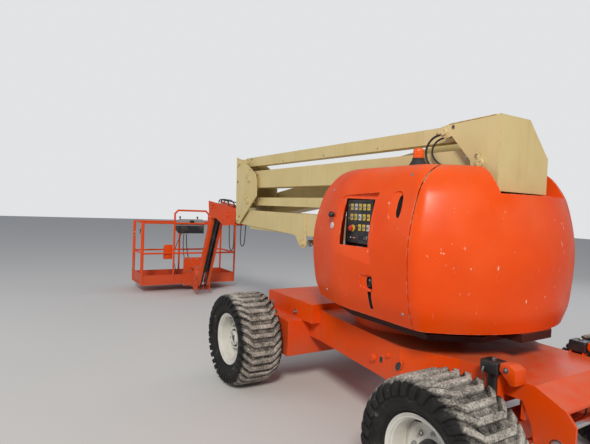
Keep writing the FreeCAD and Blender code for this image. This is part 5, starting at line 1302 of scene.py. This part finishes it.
case = bmesh.new()
for slot, y0, y1, outline in TIERS:
    put(case, prism([(CASE_X + x, z) for x, z in outline], y0, y1, 0.005, 3), slot)
put(case, rounded_box((0.038, 0.072, 0.042), 0.004, 2, machine(CASE_X - 0.017, -0.100, 1.309)), 1)
JOYSTICK = [(0.0, 0.032), (0.006, 0.031), (0.010, 0.026), (0.014, 0.028), (0.018, 0.022), (0.023, 0.023), (0.027, 0.017),
            (0.032, 0.017), (0.038, 0.009), (0.058, 0.008), (0.066, 0.014), (0.086, 0.017), (0.096, 0.014), (0.100, 0.0)]
for y in (-0.270, 0.075):
    put(case, rounded_box((0.074, 0.074, 0.006), 0.002, 1), 1, on_slope(0.075, y, 0.001))
    put(case, turned(JOYSTICK), 1, on_slope(0.075, y, 0.003))
put(case, turned([(0.0, 0.022), (0.004, 0.021), (0.005, 0.016), (0.018, 0.0145), (0.020, 0.012), (0.020, 0.0)], 20), 1,
    on_slope(0.060, -0.100))
put(case, turned([(0.0, 0.026), (0.006, 0.025), (0.006, 0.012), (0.014, 0.012), (0.016, 0.021), (0.024, 0.021), (0.029, 0.014),
                  (0.030, 0.0)], 28), 2, on_slope(0.135, 0.085))
for k in range(7):
    y = -0.215 + k * 0.036
    put(case, rounded_box((0.030, 0.022, 0.005), 0.0015, 1), 3 if k % 2 else 4, on_slope(0.135, y, 0.0015))
    put(case, rounded_box((0.014, 0.012, 0.010), 0.003, 1), 1, on_slope(0.135, y, 0.006) @ about("Y", 0.25))
for y in (-0.345, 0.147):
    for x in (0.025, 0.115):
        put(case, nut(0.006, 0.004), 5, at_point(CASE_X + x, y, 1.3035))
for y in (-0.02, 0.03, 0.08):
    put(case, turned([(0.0, 0.016), (-0.004, 0.016), (-0.006, 0.012), (-0.022, 0.011), (-0.024, 0.008)], 16), 5,
        at_point(5.800, y, 1.082))
agree(case)
merge_close(case)
lid_grey = plain("lid_grey", (0.30, 0.31, 0.31), 0.5, dirt=0.5)
add_piece("console_case", case, [lid_grey, black_plastic, red_plastic, yellow_plastic, white_plastic, zinc], "basket",
          "console")

# Free hoses and cables: short loops at the mast's top, over and under the jib bracket, from the
# platform's controls down to its floor, and at the steering cylinder.
STEER_HOSE = [(-1.320, 0.150, 0.472), (-1.325, 0.150, 0.53), (-1.320, 0.14, 0.585), (-1.27, 0.115, 0.600), (-1.235, 0.10, 0.565),
              (-1.23, 0.095, 0.50)]
HOSES = [
    # name, body, diameter, length, control points from the slew axis on the ground
    ("hose_mast_outer", "rear_upright", 0.016, 0.83, [(-0.56, 0.236, 2.212), (-0.47, 0.238, 2.216), (-0.36, 0.239, 2.20),
     (-0.30, 0.240, 2.12), (-0.32, 0.240, 2.02), (-0.42, 0.240, 1.95), (-0.56, 0.238, 1.915), (-0.74, 0.238, 1.90)]),
    ("hose_mast_inner", "rear_upright", 0.014, 0.68, [(-0.56, 0.238, 2.188), (-0.48, 0.239, 2.190), (-0.40, 0.240, 2.17),
     (-0.36, 0.240, 2.11), (-0.38, 0.240, 2.045), (-0.46, 0.239, 1.985), (-0.58, 0.238, 1.95), (-0.74, 0.238, 1.935)]),
    ("hose_bracket_left", "jib_bracket", 0.020, 0.64, [(3.90, -0.050, 1.592), (3.95, -0.060, 1.665), (4.05, -0.085, 1.715),
     (4.20, -0.100, 1.720), (4.34, -0.105, 1.735), (4.44, -0.105, 1.735), (4.465, -0.105, 1.684)]),
    ("hose_bracket_middle", "jib_bracket", 0.020, 0.67, [(3.88, -0.152, 1.590), (3.94, -0.150, 1.672), (4.05, -0.145, 1.728),
     (4.20, -0.142, 1.730), (4.36, -0.145, 1.742), (4.45, -0.146, 1.738), (4.475, -0.146, 1.684)]),
    ("hose_bracket_right", "jib_bracket", 0.016, 0.61, [(3.90, -0.252, 1.592), (3.95, -0.235, 1.660), (4.05, -0.205, 1.705),
     (4.20, -0.192, 1.706), (4.33, -0.190, 1.722), (4.42, -0.190, 1.725), (4.45, -0.190, 1.682)]),
    ("hose_loop_left", "jib_bracket", 0.014, 0.88, [(3.69, -0.048, 1.365), (3.695, -0.050, 1.28), (3.70, -0.053, 1.15),
     (3.705, -0.055, 1.05), (3.730, -0.056, 0.980), (3.785, -0.057, 0.950), (3.840, -0.056, 0.980), (3.865, -0.055, 1.05),
     (3.87, -0.053, 1.15), (3.873, -0.050, 1.28), (3.875, -0.048, 1.355)]),
    ("hose_loop_right", "jib_bracket", 0.014, 0.75, [(3.72, -0.256, 1.362), (3.723, -0.254, 1.28), (3.725, -0.251, 1.18),
     (3.730, -0.249, 1.10), (3.752, -0.248, 1.040), (3.806, -0.247, 1.012), (3.860, -0.248, 1.040), (3.883, -0.249, 1.10),
     (3.886, -0.251, 1.18), (3.888, -0.254, 1.28), (3.89, -0.256, 1.352)]),
    ("cable_console_a", "basket", 0.018, 0.99, [(5.800, -0.02, 1.10), (5.798, -0.02, 1.00), (5.800, -0.03, 0.84),
     (5.808, -0.06, 0.66), (5.800, -0.11, 0.48), (5.800, -0.17, 0.33), (5.815, -0.22, 0.23), (5.860, -0.26, 0.16)]),
    ("cable_console_b", "basket", 0.014, 0.975, [(5.800, 0.03, 1.10), (5.797, 0.035, 1.00), (5.797, 0.04, 0.86),
     (5.803, 0.02, 0.68), (5.808, -0.01, 0.50), (5.808, -0.05, 0.34), (5.830, -0.09, 0.24), (5.870, -0.13, 0.16)]),
    ("cable_console_c", "basket", 0.012, 0.985, [(5.790, 0.08, 1.10), (5.790, 0.10, 1.02), (5.785, 0.16, 0.90),
     (5.785, 0.22, 0.72), (5.790, 0.21, 0.54), (5.795, 0.16, 0.38), (5.812, 0.12, 0.27), (5.845, 0.10, 0.16)]),
    ("hose_steer_left", "chassis", 0.010, 0.275, STEER_HOSE),
    ("hose_steer_right", "chassis", 0.010, 0.275, [(x, -y, z) for x, y, z in STEER_HOSE]),
]
for name, body, diameter, length, points in HOSES:
    curve = bpy.data.curves.new(name, "CURVE")
    curve.dimensions = "3D"
    spline = curve.splines.new("NURBS")
    spline.points.add(len(points) - 1)
    for control, point in zip(spline.points, points):
        control.co = (*machine(*point), 1)
    spline.order_u = 3
    spline.use_endpoint_u = True
    spline.resolution_u = 10
    curve.bevel_depth = diameter / 2
    curve.bevel_resolution = 3
    curve.use_fill_caps = True
    curve.materials.append(rubber)
    hose = dress(new_object(name, curve), body)
